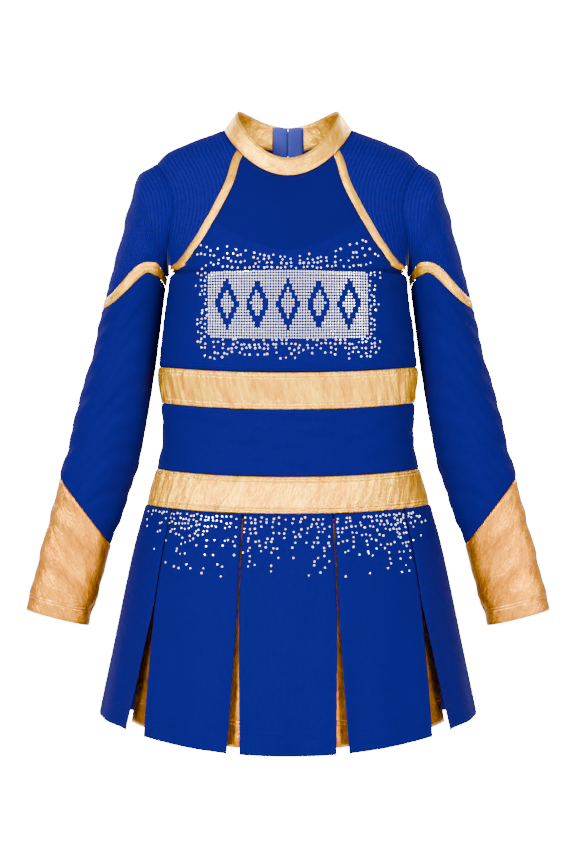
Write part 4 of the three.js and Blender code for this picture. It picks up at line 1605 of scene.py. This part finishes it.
class Rhinestones:
    """The stones on the chest and below the waistband."""

    ROWS = (0.0, -61.0)
    MIDDLE = 30.5
    HALF_WIDTH = 78.0
    PITCH = 2.6
    FIELD_CORNER = 10.5
    LOZENGE_PITCH = 30
    LOZENGE_HALF = (12.5, 25)
    LOOSE_PITCH = 4.4
    SCATTER_DEPTH = 62

    def __init__(self, finishes: Finishes, chest: bpy.types.Object,
                 panels: dict[str, bpy.types.Object]) -> None:
        """Keeps the finishes and the cloths, and cuts the one stone that is set many times."""
        self.finishes = finishes
        self.chest = chest
        self.panels = panels
        self.rng = np.random.default_rng(20)
        self.stone = self._cut()

    @staticmethod
    def _cut() -> tuple[Array, list[list[int]]]:
        """Cuts a stone of radius 1: a crown with a stepped table.

        Returns:
            Its corners and faces.
        """
        deselect()
        bpy.ops.mesh.primitive_cone_add(vertices=6, radius1=1, radius2=0.62, depth=0.42,
                                        location=(0, 0, 0))
        obj = bpy.context.active_object
        bpy.ops.object.mode_set(mode="EDIT")
        bpy.ops.mesh.select_mode(type="FACE")
        bpy.ops.mesh.select_all(action="DESELECT")
        bpy.ops.object.mode_set(mode="OBJECT")
        for face in obj.data.polygons:
            face.select = face.normal.z > 0.9
        bpy.ops.object.mode_set(mode="EDIT")
        bpy.ops.mesh.inset(thickness=0.16, depth=0.1)
        bpy.ops.object.mode_set(mode="OBJECT")
        corners = np.array([v.co[:] for v in obj.data.vertices])
        faces = [list(f.vertices) for f in obj.data.polygons]
        bpy.data.objects.remove(obj)
        return corners, faces

    def _set(self, name: str, cloth: bpy.types.Object, setting: Setting, body: str,
             stands_for: tuple[str, ...], bend: tuple[str, tuple, tuple] | None) -> None:
        """Sets one field of stones on a cloth.

        Args:
            name: The field's name.
            cloth: The cloth that it sits on.
            setting: The stones' places and sizes.
            body: Frame body that it moves with.
            stands_for: Frame nodes that it replaces.
            bend: The cloth's own bend, when it has one.
        """
        corners, faces = self.stone
        points, rings, tints = [], [], []
        for place, size in zip(setting.points, setting.sizes):
            _, spot, normal, _ = cloth.closest_point_on_mesh(Vector(place * MM))
            turn = Matrix.Rotation(self.rng.uniform(0, math.tau), 3, "Z")
            frame_of = np.array(normal.to_track_quat("Z", "Y").to_matrix() @ turn)
            base = len(points) * len(corners)
            points.append(np.array(spot + normal * 0.0002 * size)
                          + (corners * size * MM) @ frame_of.T)
            rings += [[base + c for c in face] for face in faces]
            tints.append(self.rng.uniform(0, 1))
        mesh = bpy.data.meshes.new(name)
        mesh.from_pydata(np.concatenate(points).tolist(), [], rings)
        obj = bpy.data.objects.new(name, mesh)
        bpy.context.scene.collection.objects.link(obj)
        put_attribute(obj, "tint", np.repeat(tints, len(corners)))
        obj.data.materials.append(self.finishes.stone)
        if bend is None:
            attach(obj, body)
        else:
            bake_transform(obj)
        if stands_for:
            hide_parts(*stands_for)
        LOG.info("%s: %d stones", name, len(tints))

    @staticmethod
    def _motif(x: Array, up: Array) -> Array:
        """Whether a place in the dense field is filled: five open lozenges are left bare."""
        half = Rhinestones.LOZENGE_PITCH // 2
        cell = np.mod(x + half, Rhinestones.LOZENGE_PITCH) - half
        wide, tall = Rhinestones.LOZENGE_HALF
        ring = np.abs(cell) / wide + np.abs(up + Rhinestones.MIDDLE) / tall
        bare = (ring > 0.55) & (ring < 0.95) & (np.abs(x) < 75)
        return ~bare

    def _on_torso(self, x: Array, up: Array) -> Array:
        """Points in front of the bodice at a distance across and a height."""
        angles = np.linspace(-80, 80, 321)
        found = []
        for across, level in zip(x, up):
            row = FORM.torso(angles, np.full_like(angles, level))
            angle = np.interp(across, row[:, 0], angles)
            found.append(FORM.torso(np.array(angle), np.array(level)) + [0, -2.5, 0])
        return np.array(found)

    def _chest(self) -> None:
        """The dense field, its bare lozenges and the loose stones round it."""
        x, up = np.meshgrid(np.arange(-self.HALF_WIDTH, self.HALF_WIDTH + 0.1, self.PITCH),
                            np.arange(self.ROWS[1], self.ROWS[0] + 0.1, self.PITCH))
        x, up = x.ravel(), up.ravel()
        corner = np.hypot(np.clip(np.abs(x) - 70, 0, None),
                          np.clip(np.abs(up + self.MIDDLE) - 22, 0, None))
        keep = self._motif(x, up) & (corner < self.FIELD_CORNER)
        x, up = x[keep], up[keep]
        size = np.full(len(x), 1.02)
        hx, hu = np.meshgrid(np.arange(-90, 91, self.LOOSE_PITCH),
                             np.arange(-80, 17, self.LOOSE_PITCH))
        hx = hx.ravel() + self.rng.uniform(-1.2, 1.2, hx.size)
        hu = hu.ravel() + self.rng.uniform(-1.2, 1.2, hu.size)
        beyond = np.hypot(np.clip(np.abs(hx) - 79, 0, None) * 1.5,
                          np.clip(np.abs(hu + self.MIDDLE) - 31, 0, None))
        edge = 19 + 5 * noise(hx, hu, 30, 12)
        loose = (beyond > 1.2) & (beyond < edge) & (self.rng.uniform(0, 1, hx.size)
                                                    > (beyond / 26) ** 1.6)
        x, up = np.concatenate([x, hx[loose]]), np.concatenate([up, hu[loose]])
        size = np.concatenate([size, self.rng.uniform(0.85, 1.25, int(loose.sum()))])
        self._set("chest_stones", self.chest, Setting(self._on_torso(x, up), size), "garment",
                  ("chest_rhinestones",), None)

    def _skirt(self, name: str, low: float, high: float, stands_for: tuple[str, ...]) -> None:
        """Loose stones below the waistband on one panel."""
        depth, angle = np.meshgrid(np.arange(3.5, self.SCATTER_DEPTH, 4.6),
                                   np.arange(low, high, 1.9))
        depth = depth.ravel() + self.rng.uniform(-1.4, 1.4, depth.size)
        angle = angle.ravel() + self.rng.uniform(-0.5, 0.5, angle.size)
        fade = np.clip((np.abs(angle) - 45) / 40, 0, 1)
        keep = self.rng.uniform(0, 1, depth.size) > (depth / 66) ** 0.75 + fade
        depth, angle = depth[keep], angle[keep]
        length = FORM.skirt_length + FORM.hem_drop * np.cos(np.radians(angle)) ** 2
        points = FORM.skirt(angle, depth / length)
        a = np.radians(angle)
        points = points + 3 * points_of(np.sin(a), -np.cos(a), 0 * a)
        sizes = self.rng.uniform(0.8, 1.2, len(depth))
        self._set(f"skirt_stones_{name}", self.panels[name], Setting(points, sizes),
                  f"panel_{name}", stands_for, hang_from(f"panel_{name}"))

    def build(self) -> None:
        """Sets every field."""
        self._chest()
        self._skirt("front", -13.8, 13.8, ("skirt_rhinestones_front",))
        for side in Side:
            low, high = sorted((16.2 * side.value, 49.8 * side.value))
            self._skirt(f"front_{side.word}", low, high, (f"skirt_rhinestones_{side.word}",))
            low, high = sorted((52.5 * side.value, 78.0 * side.value))
            self._skirt(f"side_{side.word}", low, high, ())


class Studio:
    """A plain pale floor, soft lights and the camera."""

    DISTANCE = 2.6
    LEVEL = -0.282

    def _floor(self) -> None:
        """The floor, which the backdrop's light fades into."""
        deselect()
        bpy.ops.mesh.primitive_plane_add(size=14, location=(0, 2.0, CAD_BOUNDS[0][2] - 0.22))
        floor = bpy.context.active_object
        floor.name = "floor"
        material, wire, shader = principled("floor_paint")
        shader.inputs["Base Color"].default_value = (0.9, 0.9, 0.9, 1.0)
        shader.inputs["Roughness"].default_value = 0.9
        seen = wire.add("ShaderNodeLightPath").outputs["Is Camera Ray"]
        shader.inputs["Emission Color"].default_value = (1.0, 1.0, 1.0, 1.0)
        wire.join(wire.math("MULTIPLY", seen, 16.0), shader.inputs["Emission Strength"])
        floor.data.materials.append(material)

    def _world(self) -> None:
        """A white surround to the eye and a soft grey one to the dress."""
        world = bpy.data.worlds.new("surround")
        bpy.context.scene.world = world
        world.use_nodes = True
        wire = Wiring(world.node_tree)
        backdrop = world.node_tree.nodes["Background"]
        backdrop.inputs["Color"].default_value = (1.0, 1.0, 1.0, 1.0)
        seen = wire.add("ShaderNodeLightPath").outputs["Is Camera Ray"]
        wire.join(wire.math("MULTIPLY_ADD", seen, 24.0, 0.75), backdrop.inputs["Strength"])

    def _light(self, name: str, place: tuple[float, float, float], size: float,
               power: float) -> None:
        """One soft area light that looks at the dress."""
        data = bpy.data.lights.new(name, "AREA")
        data.shape, data.size, data.energy = "DISK", size, power
        light = bpy.data.objects.new(name, data)
        bpy.context.scene.collection.objects.link(light)
        light.location = place
        light.rotation_euler = (Vector((0, 0, -0.28)) - light.location).to_track_quat(
            "-Z", "Y").to_euler()

    def build(self) -> None:
        """Builds the floor, lights and camera."""
        self._floor()
        self._world()
        self._light("key", (-1.7, -2.4, 1.3), 0.9, 330)
        self._light("fill", (1.9, -2.2, 0.4), 1.1, 155)
        self._light("back_left", (1.6, 2.0, 1.2), 1.2, 75)
        self._light("back_right", (-1.6, 2.0, 1.0), 1.2, 65)
        data = bpy.data.cameras.new("camera")
        data.sensor_fit, data.sensor_height, data.lens = "VERTICAL", 24.0, 72.2
        camera = bpy.data.objects.new("camera", data)
        bpy.context.scene.collection.objects.link(camera)
        camera.location = (0, -self.DISTANCE, self.LEVEL)
        camera.rotation_euler = (math.pi / 2, 0, 0)
        bpy.context.scene.camera = camera


def main() -> None:
    """Builds the whole dress and its studio."""
    logging.basicConfig(level=logging.INFO, format="%(name)s %(message)s")
    finishes = Finishes()
    bodice = Bodice(finishes)
    bodice.build()
    Shoulders(finishes).build()
    Collar(finishes).build()
    Bands(finishes).build()
    SeamAllowances(finishes).build()
    Sleeves(finishes).build()
    skirt = Skirt(finishes)
    skirt.build()
    Zip(finishes).build()
    Rhinestones(finishes, bodice.front, skirt.cloths).build()
    Studio().build()


if __name__ == "__main__":
    main()
